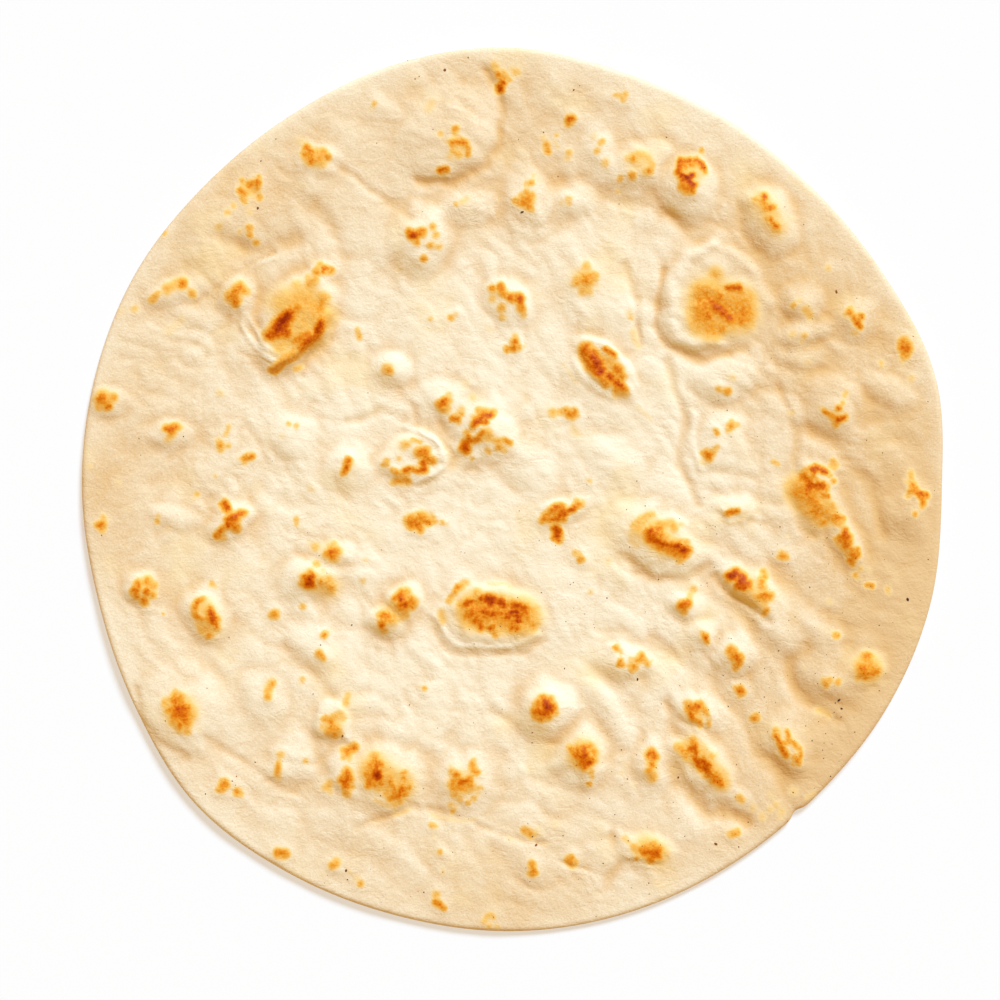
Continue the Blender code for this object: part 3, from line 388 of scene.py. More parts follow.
    (2.4, 0.8, -34.7, -32.5), (2.3, 1.1, -30.5, -33), (2.5, 0.9, -30, -34.5), (2.3, 1.0, -33.5, -35),
    (2.0, 1.0, -31.5, -31), (1.6, 0.8, -28.8, -33.5), (1.6, 0.8, -32, -36.2),
    (2.8, 0.8, -38.5, -37.5, -37.3, -37.8), (2.8, 0.8, -38.7, -39.8), (2.5, 0.6, -38.9, -40.7),
    (1.8, 1.1, -36.5, -39, -35.5, -38.5), (2.0, 0.6, -39.5, -37.5), (1.5, 0.8, -38, -42),
    (1.3, 1.3, -33, -38), (1.2, 1.0, -31.5, -37.5), (2.1, 1.0, -71, -37.3), (1.4, 0.8, -72.5, -38),
    (1.5, 0.7, -62.7, -35), (2.6, 0.5, -56.2, -43.5), (1.2, 0.6, -55.3, -43), (0.4, 1.0, -53.8, -41.3),
    (2.5, 0.7, -57.4, -49), (2.0, 0.6, -56.5, -50.5), (1.6, 0.6, -58.2, -48.6), (1.4, 0.9, -57.8, -49.5),
    (0.4, 1.2, -53.5, -47), (1.2, 0.8, -62.8, -56.8), (0.8, 1.1, -63, -57.5),
    (1.3, 0.9, -49, -61.5, -49.8, -64), (1.3, 2.8, -53.5, -70.3), (2.1, 0.7, -56, -68.5, -54.5, -69),
    (2.2, 0.8, -54, -69.8), (1.8, 0.7, -53, -68), (1.2, 1.0, -51.5, -67, -50.5, -68.3),
    (2.0, 0.9, -53.5, -71), (2.1, 0.7, -52, -71.5), (1.9, 1.1, -55, -72), (2.0, 1.1, -53, -73),
    (1.2, 0.8, -57, -71), (1.3, 0.8, -51.3, -73), (1.7, 0.5, -26.2, -59.3), (0.6, 0.8, -27.5, -59),
    # middle
    (3.0, 0.7, -20.5, 26, -20, 27), (2.2, 1.0, -21.5, 25.5), (2.1, 1.1, -20.3, 24.7),
    (1.1, 1.1, -19, 28.5), (1.7, 1.0, -19, 26.5), (1.2, 1.1, -19.2, 24), (1.1, 1.0, -15, 24),
    (2.0, 0.5, -15, 22.8), (2.5, 0.5, -17.8, 21.5, -16, 21.3), (1.3, 0.9, -16.5, 22.3),
    (1.2, 0.6, -15.7, 20.3), (0.9, 1.0, -11.6, 27.7), (0.6, 1.7, -14, 32), (2.5, 1.3, -8.2, 22.9),
    (3.3, 0.4, -6.5, 22.3), (3.1, 0.7, -10.8, 20.8, -8.5, 21.8, -6.3, 22.5),
    (3.2, 0.5, -11.5, 19.6, -9.5, 20.3, -8, 20.3), (1.9, 1.0, -9.5, 23.5), (1.5, 0.9, -5.5, 23.5),
    (1.0, 0.9, -12, 21.5), (1.1, 0.8, -11.9, 18.3), (1.9, 0.9, -13.5, 16.7), (2.7, 0.7, -13, 15.5),
    (2.9, 0.6, -12.2, 14.8), (3.6, 0.9, -14, 13.7, -13.8, 12.3), (2.8, 0.6, -13, 13.5),
    (2.3, 0.5, -15, 12.7), (1.8, 0.4, -14, 11.5), (2.6, 0.6, -10, 16, -8.5, 17.3),
    (2.4, 0.6, -10.8, 14.9), (1.7, 1.2, -7.3, 17), (1.5, 1.1, -7, 15.5), (2.0, 0.8, -9.5, 15.5),
    (1.7, 0.9, -4, 14.3), (2.1, 0.6, -3.7, 12.8), (2.2, 0.5, -2, 14.7, -0.5, 14), (1.2, 1.0, -2.5, 12),
    (1.2, 0.8, -4.5, 12.5), (1.4, 0.9, -5.2, 15), (1.3, 0.8, -7.5, 11.8), (1.2, 0.6, -7, 10.9),
    (1.6, 0.3, -12, 9.4), (2.4, 0.8, 9.2, -9, 11, -8.7), (1.9, 1.0, 10, -7.8, 12, -6.5),
    (2.5, 0.7, 12.3, -6, 13.5, -5.2), (2.4, 0.8, 13.5, -5, 15, -4.7), (2.5, 1.0, 14.5, -6),
    (3.2, 0.8, 15.3, -6), (3.4, 0.6, 15.8, -7), (3.0, 0.6, 14.8, -7.3),
    (3.1, 0.5, 12, -9, 13.5, -8.8, 14.2, -7.9), (2.2, 1.0, 13, -7.3), (2.2, 0.8, 15.3, -8.8),
    (3.0, 0.6, 17, -6.1, 18.5, -5.8), (2.3, 0.8, 18.7, -5.2, 20.2, -4.5), (1.5, 0.9, 19.5, -3.3),
    (1.6, 0.7, 20.8, -4.8), (1.1, 0.6, 21.3, -3.8), (1.3, 0.6, 14, -9.8), (1.2, 0.6, 11.5, -10),
    (3.5, 0.9, 13.2, -12, 13.7, -14), (3.4, 0.6, 14.2, -12.5), (2.9, 0.6, 14, -15.3),
    (2.3, 0.7, 12.6, -14.3), (2.3, 0.7, 12.7, -11.8), (2.0, 0.5, 15, -14.5), (1.8, 0.6, 15, -13),
    (1.2, 0.8, 13, -10.5), (2.2, 0.6, 20.5, -20.8), (1.9, 0.4, 21.3, -21), (1.2, 0.9, 19, -19),
    (1.4, 0.7, 20.3, -19.7), (0.5, 0.5, 17, -17, 18, -18.3), (0.5, 0.7, -14, -7.5),
    (0.4, 1.0, -6.5, -6.5), (1.2, 0.6, 23.4, 2.5), (0.4, 0.5, 7, -4, 5.5, -3.3), (0.5, 0.8, 11.5, -29.3),
    # the large round blister in the middle
    (2.1, 4.8, -11, -36.3, 3, -38), (3.7, 1.1, -7.5, -32.5, -5.5, -33), (3.2, 0.9, -9.3, -32.8),
    (3.5, 0.8, -6, -34), (3.8, 0.8, -3.5, -33.6, -2.3, -34.8), (3.3, 1.0, 0.5, -34.3, 2, -34.5),
    (4.1, 0.6, 1, -36.5, 0, -36.8), (3.8, 1.1, 1.7, -38), (3.7, 0.7, 2, -39.5), (3.5, 0.6, -1, -38),
    (3.2, 0.7, 3.7, -34.8), (2.7, 1.0, 3.8, -36.3), (3.2, 1.1, -6, -37, -8, -36.5),
    (3.1, 1.0, -12.5, -33.5), (2.9, 1.1, -13.3, -34.3), (2.6, 1.4, -11.5, -36), (2.5, 1.2, -13, -37.5),
    (3.4, 0.7, -6, -41.5), (2.8, 1.2, -9, -41), (2.7, 1.4, -10.5, -39), (2.7, 1.0, -3, -37),
    (2.6, 1.1, 0, -41), (2.6, 0.9, 1.5, -41.8), (1.9, 0.9, -15.5, -35), (1.8, 1.0, -10.5, -30.8),
    (1.6, 1.1, 6.5, -40.5), (1.3, 0.7, 8, -39.5), (1.8, 0.9, -5, -43.3), (2.4, 0.7, -16, -29.3),
    (1.6, 0.8, -15, -29), (1.3, 0.9, -14, -27.7), (2.0, 0.7, -17, -30.5),
    (1.6, 0.7, -18, -32, -19, -33.5), (1.1, 1.3, -21, -37, -20.5, -39),
    (0.8, 0.4, -7, -28, -4.5, -28.3, -2.5, -28, -0.5, -29.3),
    # lower left
    (1.7, 1.0, -72, -57.8, -73, -60.5), (2.1, 0.6, -71.3, -57.8), (1.9, 0.9, -73, -62),
    (0.8, 0.8, -74, -58), (0.5, 0.7, -66, -72), (1.4, 0.9, -69.5, -79.5), (2.2, 0.5, -70, -83.3),
    (1.8, 0.7, -70, -82, -70.3, -85), (0.9, 0.7, -68.5, -79), (1.0, 0.7, -70, -86.5),
    (1.4, 0.6, -61.7, -81.3), (2.5, 0.9, -87, -89.3, -86.3, -87.8), (1.7, 0.8, -85.5, -88.5),
    (1.6, 0.8, -88, -89.8), (1.8, 0.8, -82.3, -90), (1.9, 0.7, -82.5, -91), (1.5, 0.6, -81.5, -91.3),
    (2.4, 1.1, -70, -108.8, -67.8, -109.3), (2.3, 1.0, -49, -77.8, -47.3, -77.3),
    (2.2, 1.0, -49.5, -78.8), (2.0, 0.8, -47.3, -76.8), (1.5, 0.5, -50.5, -80.3), (1.5, 0.8, -50.8, -78),
    (1.3, 0.8, -48.5, -80.5), (2.7, 1.2, -49.5, -85, -50, -87.5), (3.0, 0.7, -49.8, -88.7),
    (2.5, 1.1, -50.3, -86.5), (2.2, 1.1, -48.7, -86.5), (1.5, 1.0, -49.5, -83.8), (1.9, 1.0, -49.5, -91),
    (1.9, 0.7, -51.5, -87), (1.7, 0.8, -48, -89), (1.5, 1.2, -55.5, -89), (1.3, 0.9, -54.5, -88),
    (1.0, 0.8, -54.3, -90.5), (1.4, 3.8, -41.3, -84.5), (4.0, 0.9, -40.5, -84, -40, -86),
    (4.2, 0.6, -39.7, -85.5), (3.0, 1.1, -41.5, -85.5), (2.6, 1.0, -43, -85), (2.6, 1.2, -41, -82),
    (1.8, 1.2, -41.3, -79.9), (2.2, 1.0, -42.5, -82.5), (2.2, 1.0, -39.7, -82), (2.8, 0.9, -42.5, -87),
    (2.4, 1.0, -41, -88), (2.2, 0.8, -43, -88.5), (2.3, 0.8, -39.3, -87.8), (1.7, 0.8, -39.5, -89.5),
    (2.3, 0.7, -36.5, -87.5, -35.5, -89), (1.7, 0.8, -36.5, -86), (1.6, 0.8, -37.5, -89),
    (3.3, 0.8, -33, -89.5), (2.9, 0.5, -31, -89), (2.1, 0.6, -32.3, -87, -32.5, -85.5),
    (1.9, 0.7, -32, -84.9), (2.9, 0.8, -34, -91.2), (2.2, 1.0, -35.5, -91.5), (1.8, 0.8, -36.5, -92.5),
    (2.0, 0.8, -33.5, -92.8), (1.5, 0.7, -35, -93.7), (2.2, 0.8, -32, -91), (1.8, 0.9, -34.7, -89.5),
    (1.3, 0.8, -33.8, -87.5), (1.2, 0.8, -30.8, -87.5), (1.7, 0.8, -37.5, -91),
    (0.9, 0.4, -41, -93, -38.5, -94.5, -35, -95), (0.9, 0.7, -35, -97.3, -31, -96.3),
    # bottom
    (2.8, 0.9, -16.8, -85.5), (3.2, 0.9, -15.5, -87.5), (3.0, 0.7, -14.5, -87.3, -13.3, -86.8),
    (2.3, 0.7, -12.5, -86.5, -12.5, -88), (2.4, 0.8, -17.8, -87.8), (2.2, 0.8, -17.5, -89.5),
    (1.7, 0.8, -18, -84.5), (0.7, 0.9, -18.3, -82.8), (1.9, 0.8, -16, -89.3, -12.5, -89.5),
    (1.7, 0.9, -17, -91.3), (1.4, 0.8, -15.8, -92.8), (1.7, 0.6, -13.3, -93.8), (1.5, 0.6, -11.3, -92.5),
    (0.9, 0.7, -10.3, -91), (1.2, 0.5, -11, -89.5, -9.5, -89.3), (1.8, 0.7, -11.8, -82, -11.8, -83.5),
    (2.3, 0.5, -11.3, -84.5, -10.2, -84.8), (1.3, 0.6, -12.5, -83.5), (1.3, 0.6, -10.8, -83.3),
    (1.3, 0.6, -11.3, -81), (0.5, 0.7, -8, -85), (1.6, 0.6, -17.7, -96.5), (1.1, 0.9, -18.5, -94.5),
    (0.9, 0.8, -17, -95.3), (0.7, 0.4, -24, -97.3, -20, -98.6, -15, -99.5, -11, -99),
    (1.5, 0.8, -23.8, -100.5), (1.1, 0.8, -23, -101), (0.6, 0.8, -23.2, -104), (1.9, 0.5, -21.5, -108.5),
    (1.0, 0.9, -21.5, -108.7), (1.0, 0.5, -20.9, -114.7), (2.4, 0.7, -22.8, -123.5, -21.8, -124.2),
    (2.5, 0.6, -21.3, -125, -20.5, -125.5), (1.5, 1.0, -22.8, -121.3), (1.9, 0.9, -22.3, -124.3),
    (2.2, 0.7, -52.8, -112.5, -53.8, -112.7), (1.7, 1.0, -52.5, -111.5), (1.3, 0.6, -54.5, -112.8),
    (2.0, 0.7, -45.5, -118), (0.8, 1.2, -46.7, -116.5), (0.7, 0.8, -49, -114.5), (0.5, 1.0, -57, -115.5),
    (1.3, 0.8, -8.3, -129.5, -7.3, -128, -6, -127.8), (1.3, 0.7, -6.8, -131), (1.0, 0.8, -4.3, -131),
    (1.2, 0.5, -5.8, -128.5), (0.6, 0.8, -1, -104.5, 0, -105.3), (1.7, 0.9, 4, -102, 5.5, -103),
    (1.3, 0.9, 3.5, -101.8), (1.4, 0.7, 6, -104), (0.6, 1.3, 8, -101.5), (0.9, 0.9, 7, -103),
    (0.6, 1.3, 13, -100.5), (0.6, 0.7, 10.5, -106.5), (2.1, 0.7, 6, -112.3, 5.7, -113),
    (1.3, 0.6, 6, -111.3), (2.6, 0.7, 6.3, -114.8), (2.0, 0.5, 7.2, -115), (1.8, 0.7, 5.5, -115.3),
    (1.7, 0.8, 6, -113.7), (2.0, 0.5, 18, -110.3), (2.0, 0.8, 17, -111, 18, -111.5), (1.4, 0.9, 19, -112),
    (1.3, 0.8, 18, -112.8), (1.1, 0.9, 33.8, -104.3), (1.2, 0.6, 34.8, -105.5), (1.5, 0.8, 36.5, -106.8),
    (2.2, 0.7, 38, -107.8), (2.6, 0.8, 39.3, -107.5, 39.5, -108.5), (3.1, 0.8, 41, -108.3, 43, -108.5),
    (2.9, 0.8, 42, -109.8, 41.5, -110.8), (2.9, 0.9, 43.7, -109.3), (2.2, 0.8, 40.3, -107),
    (2.3, 1.0, 42, -107), (2.2, 0.9, 43.8, -107.5), (2.4, 0.8, 40, -109.3), (1.6, 0.8, 42.5, -106),
    (2.2, 0.6, 44.5, -108), (1.9, 0.5, 37.5, -110.3), (1.1, 0.8, 36.8, -108.3),
    (0.5, 1.4, 45, -119, 43, -118),
    # two round blisters below the middle
    (1.3, 3.3, 9.7, -65.5), (4.0, 0.9, 10.2, -63.5, 10, -65), (3.7, 0.9, 11, -65, 11.5, -65.5),
    (3.6, 0.7, 9.3, -66.8), (3.0, 1.0, 8.2, -66), (3.0, 1.0, 10.5, -66.5), (2.6, 0.9, 12.3, -64.5),
    (2.4, 0.9, 7, -66), (2.3, 1.0, 8, -64), (2.6, 0.8, 8.8, -68.3), (2.0, 1.0, 11, -68),
    (2.4, 0.9, 9.5, -62.5), (2.3, 0.8, 11.5, -62.7), (1.8, 0.8, 7, -67.8), (1.7, 0.8, 12.8, -66.8),
    (0.4, 1.2, 8, -59), (1.4, 4.0, 21.3, -79.5), (3.2, 0.9, 21.5, -77.3, 22, -79), (4.0, 0.8, 23, -81.7),
    (3.2, 0.8, 22, -82), (3.2, 0.7, 20.3, -79.5, 22, -79.8), (2.8, 0.8, 19, -79.5), (2.7, 0.8, 24, -80.5),
    (2.7, 1.0, 21, -81), (2.5, 0.9, 21.8, -83), (2.3, 1.1, 19.5, -77.5), (2.2, 0.9, 18, -78),
    (1.6, 0.9, 17.3, -77), (2.0, 0.9, 24.3, -78.5), (2.0, 0.9, 23, -76.8), (2.0, 0.8, 20, -82),
    (1.7, 0.6, 23.8, -84.5), (1.3, 0.6, 24, -86), (2.2, 0.4, 23.2, -88.2),
    # lower right
    (2.5, 0.5, 31.2, -47.2), (1.8, 0.4, 31.7, -48), (1.3, 0.4, 32.7, -48.8), (2.3, 0.6, 32.6, -51.3),
    (2.0, 0.5, 32, -52.3, 33.5, -52.7), (2.1, 0.7, 36, -52.8, 36.8, -53), (1.4, 0.6, 36, -54.2),
    (1.1, 0.6, 35.8, -51), (2.3, 0.8, 38.5, -50.3), (2.0, 0.6, 37.5, -51),
    (1.7, 0.6, 39.8, -51, 40.8, -52), (1.6, 0.6, 38.8, -49.3), (0.9, 0.4, 41.8, -51.5),
    (0.5, 1.3, 5.5, -83.5), (0.6, 1.2, 33, -85), (0.5, 1.0, 34, -82), (0.5, 1.3, 36.5, -88.5),
    (1.3, 1.6, 41.5, -79, 42, -86), (2.7, 0.8, 41.8, -79, 42.8, -80.5), (3.0, 0.5, 41.3, -79.3),
    (2.4, 0.9, 42, -82.3), (2.5, 0.7, 41, -84), (1.8, 0.8, 41.8, -85.5), (2.0, 0.6, 40.7, -80),
    (1.6, 0.6, 42, -77.8), (1.3, 0.7, 42.3, -87), (3.1, 0.6, 57.7, -44.2), (1.8, 0.7, 57, -43.2),
    (2.3, 0.6, 58.3, -45.3), (3.2, 0.7, 67.2, -50.3), (2.0, 1.0, 65.5, -48, 66.5, -48.8),
    (1.8, 0.8, 64.8, -48.5), (2.2, 0.8, 66, -50), (2.4, 0.9, 68, -51), (2.2, 0.9, 67.3, -52),
    (2.2, 0.7, 68.7, -50), (1.6, 0.8, 67, -53.3), (1.4, 0.7, 65.5, -47.3), (2.8, 0.7, 68.3, -60.3),
    (2.3, 0.6, 68.7, -59.5), (2.1, 0.8, 68.3, -61.5), (1.8, 0.7, 67.3, -59.8), (1.9, 0.7, 69.3, -60.5),
    (2.3, 0.9, 73, -68.5), (1.9, 0.9, 73.5, -68), (1.8, 0.8, 72.2, -68.5),
    (3.2, 0.6, 54.8, -64.5, 56, -65), (2.4, 0.8, 53.3, -64.3), (3.0, 0.7, 54, -65.7),
    (2.2, 0.7, 52.8, -65.5), (2.7, 0.6, 53.5, -67, 54, -68), (2.1, 0.7, 55, -66.5),
    (2.4, 0.6, 54.5, -68.7, 55.8, -69.5), (1.8, 0.6, 56.3, -70.8), (2.0, 0.6, 57.5, -65, 58, -66.3),
    (2.3, 0.7, 56.5, -64.3), (1.4, 0.5, 58.5, -67.3), (1.5, 0.7, 52.2, -64), (1.7, 0.7, 59, -70.5),
    (1.3, 0.6, 59, -69.2), (1.4, 2.1, 52, -77.5, 63, -88), (2.3, 0.9, 51.3, -78.3), (1.7, 1.0, 50, -77),
    (1.6, 0.9, 52, -79.8), (3.0, 0.8, 53.5, -77.5, 54.8, -76.8), (2.9, 0.9, 55, -78.5, 54.8, -80),
    (1.8, 0.9, 54.5, -75), (3.6, 0.9, 56, -82), (3.3, 0.7, 57.3, -81.5, 58.5, -82.5),
    (3.3, 0.7, 56.8, -83.5, 58.3, -84), (2.8, 0.8, 55.3, -81), (2.6, 0.8, 59, -85, 60.5, -85.8),
    (2.3, 0.8, 58, -85.5), (2.6, 0.8, 61, -87, 62.3, -87), (2.5, 0.8, 63, -87.8), (1.8, 1.0, 61.5, -85),
    (1.9, 0.9, 59.5, -83.8), (1.7, 0.8, 60, -87.3), (1.7, 0.6, 60, -79.7), (0.9, 0.5, 61.5, -79),
    (0.8, 1.2, 56, -76, 60, -80), (1.6, 0.8, 68, -92, 69, -93), (2.9, 0.6, 79.3, -73.5, 79.7, -74.5),
    (1.7, 0.8, 79, -72.3), (2.8, 0.6, 80.3, -76, 81.2, -77.5), (2.6, 0.7, 81, -78, 82, -79.3),
    (1.8, 0.6, 82.3, -80), (1.6, 0.6, 78.5, -73.8), (1.3, 0.5, 80.3, -72.5),
    (2.1, 0.5, 82.5, -72.5, 82.7, -73.7), (2.0, 0.5, 81.5, -75.3, 83.3, -75.3),
    (1.9, 0.7, 84.5, -76, 86, -77.3), (2.0, 0.6, 86.3, -78.7, 86, -80), (2.5, 0.7, 85.3, -81),
    (2.2, 0.5, 84.5, -80), (1.7, 0.6, 86, -82), (1.3, 0.5, 84, -82.3), (1.6, 0.5, 84.3, -75.5),
    (2.2, 0.6, 97.3, -43.7, 97.8, -43.7), (0.8, 0.6, 96.3, -42.7), (2.0, 3.6, 106.5, -53.5),
    (2.5, 1.0, 106, -50), (1.9, 0.8, 107.3, -49.7), (2.4, 1.2, 104.5, -53), (2.7, 1.0, 105.5, -54.8),
    (2.7, 1.0, 108, -54.5), (2.5, 0.8, 109.3, -54.2), (2.7, 0.9, 106, -56.3), (2.2, 0.8, 104, -55.5),
    (1.6, 0.7, 103.5, -54), (1.3, 0.7, 103.5, -57), (1.7, 1.0, 94, -57.7), (1.5, 0.8, 95.3, -57),
    (1.0, 0.8, 93, -57), (1.2, 0.6, 94.3, -58.8), (1.8, 0.7, 97.7, -57.7), (1.3, 0.8, 98.3, -57.3),
    (0.5, 1.4, 88, -53), (1.0, 1.1, 92, -66, 95, -67.5), (1.8, 0.8, 66.2, -103, 67.7, -102.5),
    (1.3, 0.8, 65.2, -103), (0.8, 1.2, 72.5, -95.5), (0.9, 1.2, 75, -98), (1.0, 1.0, 79.3, -94.3),
    (0.9, 1.0, 77.5, -96), (0.9, 1.2, 81, -96.5), (0.9, 1.3, 84.5, -90.5), (0.7, 1.3, 77.5, -91.5),
    (0.7, 1.0, 80.5, -98.5), (0.8, 0.7, 88.5, -92.5, 90.5, -91),
)

# How marks are drawn: their uneven edges, how they merge, how far core and halo reach past the half
# width, the halo's share of the heat, and the low dome that the dough swells to under a mark
MARK_WARPS = ((0.5, 4.6), (0.35, 1.9))
MARK_SEED = 61.0
MARK_MERGE = 4.0
MARK_REACH = 2.3
CORE_SPREAD = 1.2
CORE_EDGE = 0.45
HALO = 2.5
HALO_HEAT = 0.3
DOME_REACH = 3.4
DOME_HEIGHT = 0.2
DOME_HEAT = 2.5

# Where the skin has dried and turned tan: x, y, radius, strength
TOASTED = (
    (128, -22, 42, 0.8), (104, -90, 36, 0.9), (84, 60, 30, 0.5), (-6, 108, 30, 0.35), (-118, 6, 34, 0.3),
    (104, 24, 30, 0.3), (-10, -118, 40, 0.15), (-84, 84, 32, 0.4), (-130, 0, 16, 0.2), (0, -130, 16, 0.3),
)
RIM_TOAST = 0.36
RIM_TOAST_REACH = (40.0, 125.0)
UNDER_TOAST = 0.5

# Painted shade: hollows, where the skin lies below its smoothed level, are painted tan and golden, and
# crests above it are painted paler as painted light, but not on the steep rim: rounds of smoothing,
# the depth that counts as 1, how level the skin must be, and the tints
HOLLOW_SMOOTHING = 30
HOLLOW_DEPTH = 0.2
HOLLOW_LEVELNESS = (0.4, 0.8)
HOLLOW_SHADE = 0.08
HOLLOW_SHADE_LIMITS = (-0.15, 0.55)
HOLLOW_GOLD_SHADE = 0.13
MOST_GOLD_SHADE = 0.6

# Browned marks of the underside, which are broad patches of small spots: wavelength, seed, levels
UNDER_HEAT = 3.0
UNDER_PATCHES = (34.0, 80.0, (-0.05, 0.4))
UNDER_SPOTS = (8.0, 81.0, (-0.15, 0.4))

# Rings of triangles between the middle and the rim, and how many of them round the rim's edge. They
# make a hexagon, whose first corner is given in radians. Points this near are joined
UPPER_RINGS = 176
UNDER_RINGS = 44
UPPER_ROUND_RINGS = 4
UNDER_ROUND_RINGS = 2
FIRST_CORNER = math.pi / 6.0
MERGE = 0.001


def ease(low, high, value):
    """A smooth step from 0 at low to 1 at high."""
    t = np.clip((value - low) / (high - low), 0.0, 1.0)
    return t * t * (3.0 - 2.0 * t)


def waves(x, y, wavelength, seed):
    """Smooth noise between about -1 and 1 at each point, with features about one wavelength apart."""
    points = zip((x / wavelength).tolist(), (y / wavelength).tolist())
    return np.array([noise.noise(Vector((u, v, seed))) for u, v in points])


def rim_radius(angle):
    """Distance of the rim from the centre, along a smooth closed curve through the RIM values."""
    rim = np.array(RIM)
    place = np.mod(angle, 2.0 * math.pi) / (2.0 * math.pi) * len(rim)
    index = np.floor(place).astype(int)
    t = place - index
    before, here, after, beyond = (rim[(index + k) % len(rim)] for k in (-1, 0, 1, 2))
    curve = 2.0 * here + (after - before) * t
    curve += (2.0 * before - 5.0 * here + 4.0 * after - beyond) * t**2
    curve += (3.0 * here - before - 3.0 * after + beyond) * t**3
    turn = np.angle(np.exp(1j * (angle - math.radians(NICK_ANGLE))))
    nick = NICK_DEPTH * np.exp(-((turn * rim.mean() / NICK_HALF_WIDTH) ** 2))
    return curve / 2.0 - nick


def across(x, y, row):
    """How far each point is from the middle of a blister, as a share of the way to its edge."""
    centre_x, centre_y, half_length, half_width, turn = row[:5]
    roundness = row[6] if len(row) > 6 else ELLIPSE
    c, s = math.cos(math.radians(turn)), math.sin(math.radians(turn))
    u = ((x - centre_x) * c + (y - centre_y) * s) / half_length
    v = ((y - centre_y) * c - (x - centre_x) * s) / half_width
    return (np.abs(u) ** roundness + np.abs(v) ** roundness) ** (1.0 / roundness)


def line_distance(x, y, points):
    """Distance of each point from a line of straight stretches, or from a single point."""
    best = np.full(len(x), np.inf)
    for (x0, y0), (x1, y1) in zip(points, points[1:] or points):
        dx, dy = x1 - x0, y1 - y0
        t = np.clip(((x - x0) * dx + (y - y0) * dy) / max(dx * dx + dy * dy, 1e-9), 0.0, 1.0)
        best = np.minimum(best, np.hypot(x - x0 - t * dx, y - y0 - t * dy))
    return best


def sheet_lift(x, y, angle, inward):
    """Height of the dough's underside before it settles on its pads: slow waves, and curls at the rim."""
    lift = np.zeros(len(x))
    for k, (height, wavelength) in enumerate(WAVES):
        lift += height * waves(x, y, wavelength, WAVE_SEED + k)
    for middle, half_angle, height in CURLS:
        turn = np.degrees(np.angle(np.exp(1j * (angle - math.radians(middle)))))
        lift += height * np.exp(-((turn / half_angle) ** 2)) * ease(CURL_WIDTH, 0.0, inward) ** 1.5
    return lift


def warped(x, y, warps, seed):
    """The points moved sideways by slow noise, which makes drawn shapes uneven."""
    wx, wy = x.copy(), y.copy()
    for k, (strength, wavelength) in enumerate(warps):
        wx += strength * waves(x, y, wavelength, seed + 2 * k)
        wy += strength * waves(x, y, wavelength, seed + 2 * k + 1)
    return wx, wy


def relief(x, y):
    """Height of the upper side's blisters, ridges and valleys over a plain sheet."""
    wx, wy = warped(x, y, WARPS, WAVE_SEED + 5)
    height = np.zeros(len(x))
    for row in SOFT_BLISTERS:
        q = across(wx, wy, row)
        height += (row[5] - height).clip(0.0) * np.clip(1.0 - (q / BLISTER_FOOT) ** 2, 0.0, 1.0) ** 1.5
    for row in SKIN_BLISTERS:
        stands = ease(1.0 + SKIN_EDGE / 2, 1.0 - SKIN_EDGE, across(wx, wy, row))
        height = np.maximum(height, row[5] * stands)
    for rise, half_width, points in LINES:
        height += rise * np.exp(-((line_distance(wx, wy, points) / half_width) ** 2))
    return height


def puckers(x, y):
    """The skin's puckers: rounded folds between narrow creases, most of which run down to the right."""
    wx, wy = warped(x, y, PUCKER_WARPS, PUCKER_SEED + 20)
    height = np.zeros(len(x))
    for k, (depth, wavelength, stretch, turn) in enumerate(PUCKERS):
        c, s = math.cos(math.radians(turn)), math.sin(math.radians(turn))
        fold = waves((wx * c + wy * s) / stretch, wy * c - wx * s, wavelength, PUCKER_SEED + k)
        strength = ease(*FADE_LEVELS, waves(x, y, FADE_WIDTH * wavelength, PUCKER_SEED + 9 + k))
        rounded = np.sqrt(fold**2 + CREASE_ROUNDING) - MEAN_FOLD
        height += depth * (FADED + (1.0 - FADED) * strength) * rounded
    return height


def marked(x, y, marks):
    """How much the griddle browned each point, and how far the dough swells under the marks."""
    wx, wy = warped(x, y, MARK_WARPS, MARK_SEED)
    heat, dome = np.zeros(len(x)), np.zeros(len(x))
    for strength, half_width, *flat in marks:
        points = list(zip(flat[0::2], flat[1::2]))
        reach = MARK_REACH * half_width + DOME_REACH
        near = np.flatnonzero(
            (wx > min(flat[0::2]) - reach) & (wx < max(flat[0::2]) + reach)
            & (wy > min(flat[1::2]) - reach) & (wy < max(flat[1::2]) + reach)
        )
        d = line_distance(wx[near], wy[near], points)
        core = strength * np.exp(-((d / (CORE_SPREAD * half_width + CORE_EDGE)) ** 2))
        halo = HALO_HEAT * strength * ease(half_width + HALO, 0.5 * half_width, d)
        added = np.maximum(core, halo) ** MARK_MERGE
        heat[near] = (heat[near] ** MARK_MERGE + added) ** (1.0 / MARK_MERGE)
        swell = DOME_HEIGHT * min(strength, DOME_HEAT) * ease(half_width + DOME_REACH, 0.0, d)
        dome[near] = np.maximum(dome[near], swell)
    return heat, dome


def new_disc(rings):
    """A flat hexagon of near-equal triangles, this many rings deep.

    Its edge has as many points as the upper side's, so that the two sides can be joined.
    """
    bm = bmesh.new()
    bmesh.ops.create_circle(bm, cap_ends=True, cap_tris=True, segments=6, radius=1.0)
    bmesh.ops.subdivide_edges(bm, edges=bm.edges[:], cuts=rings - 1, use_grid_fill=True)
    if rings < UPPER_RINGS:
        edge = [e for e in bm.edges if e.is_boundary]
        bmesh.ops.subdivide_edges(bm, edges=edge, cuts=UPPER_RINGS // rings - 1)
    bmesh.ops.triangulate(bm, faces=bm.faces[:])
    return bm


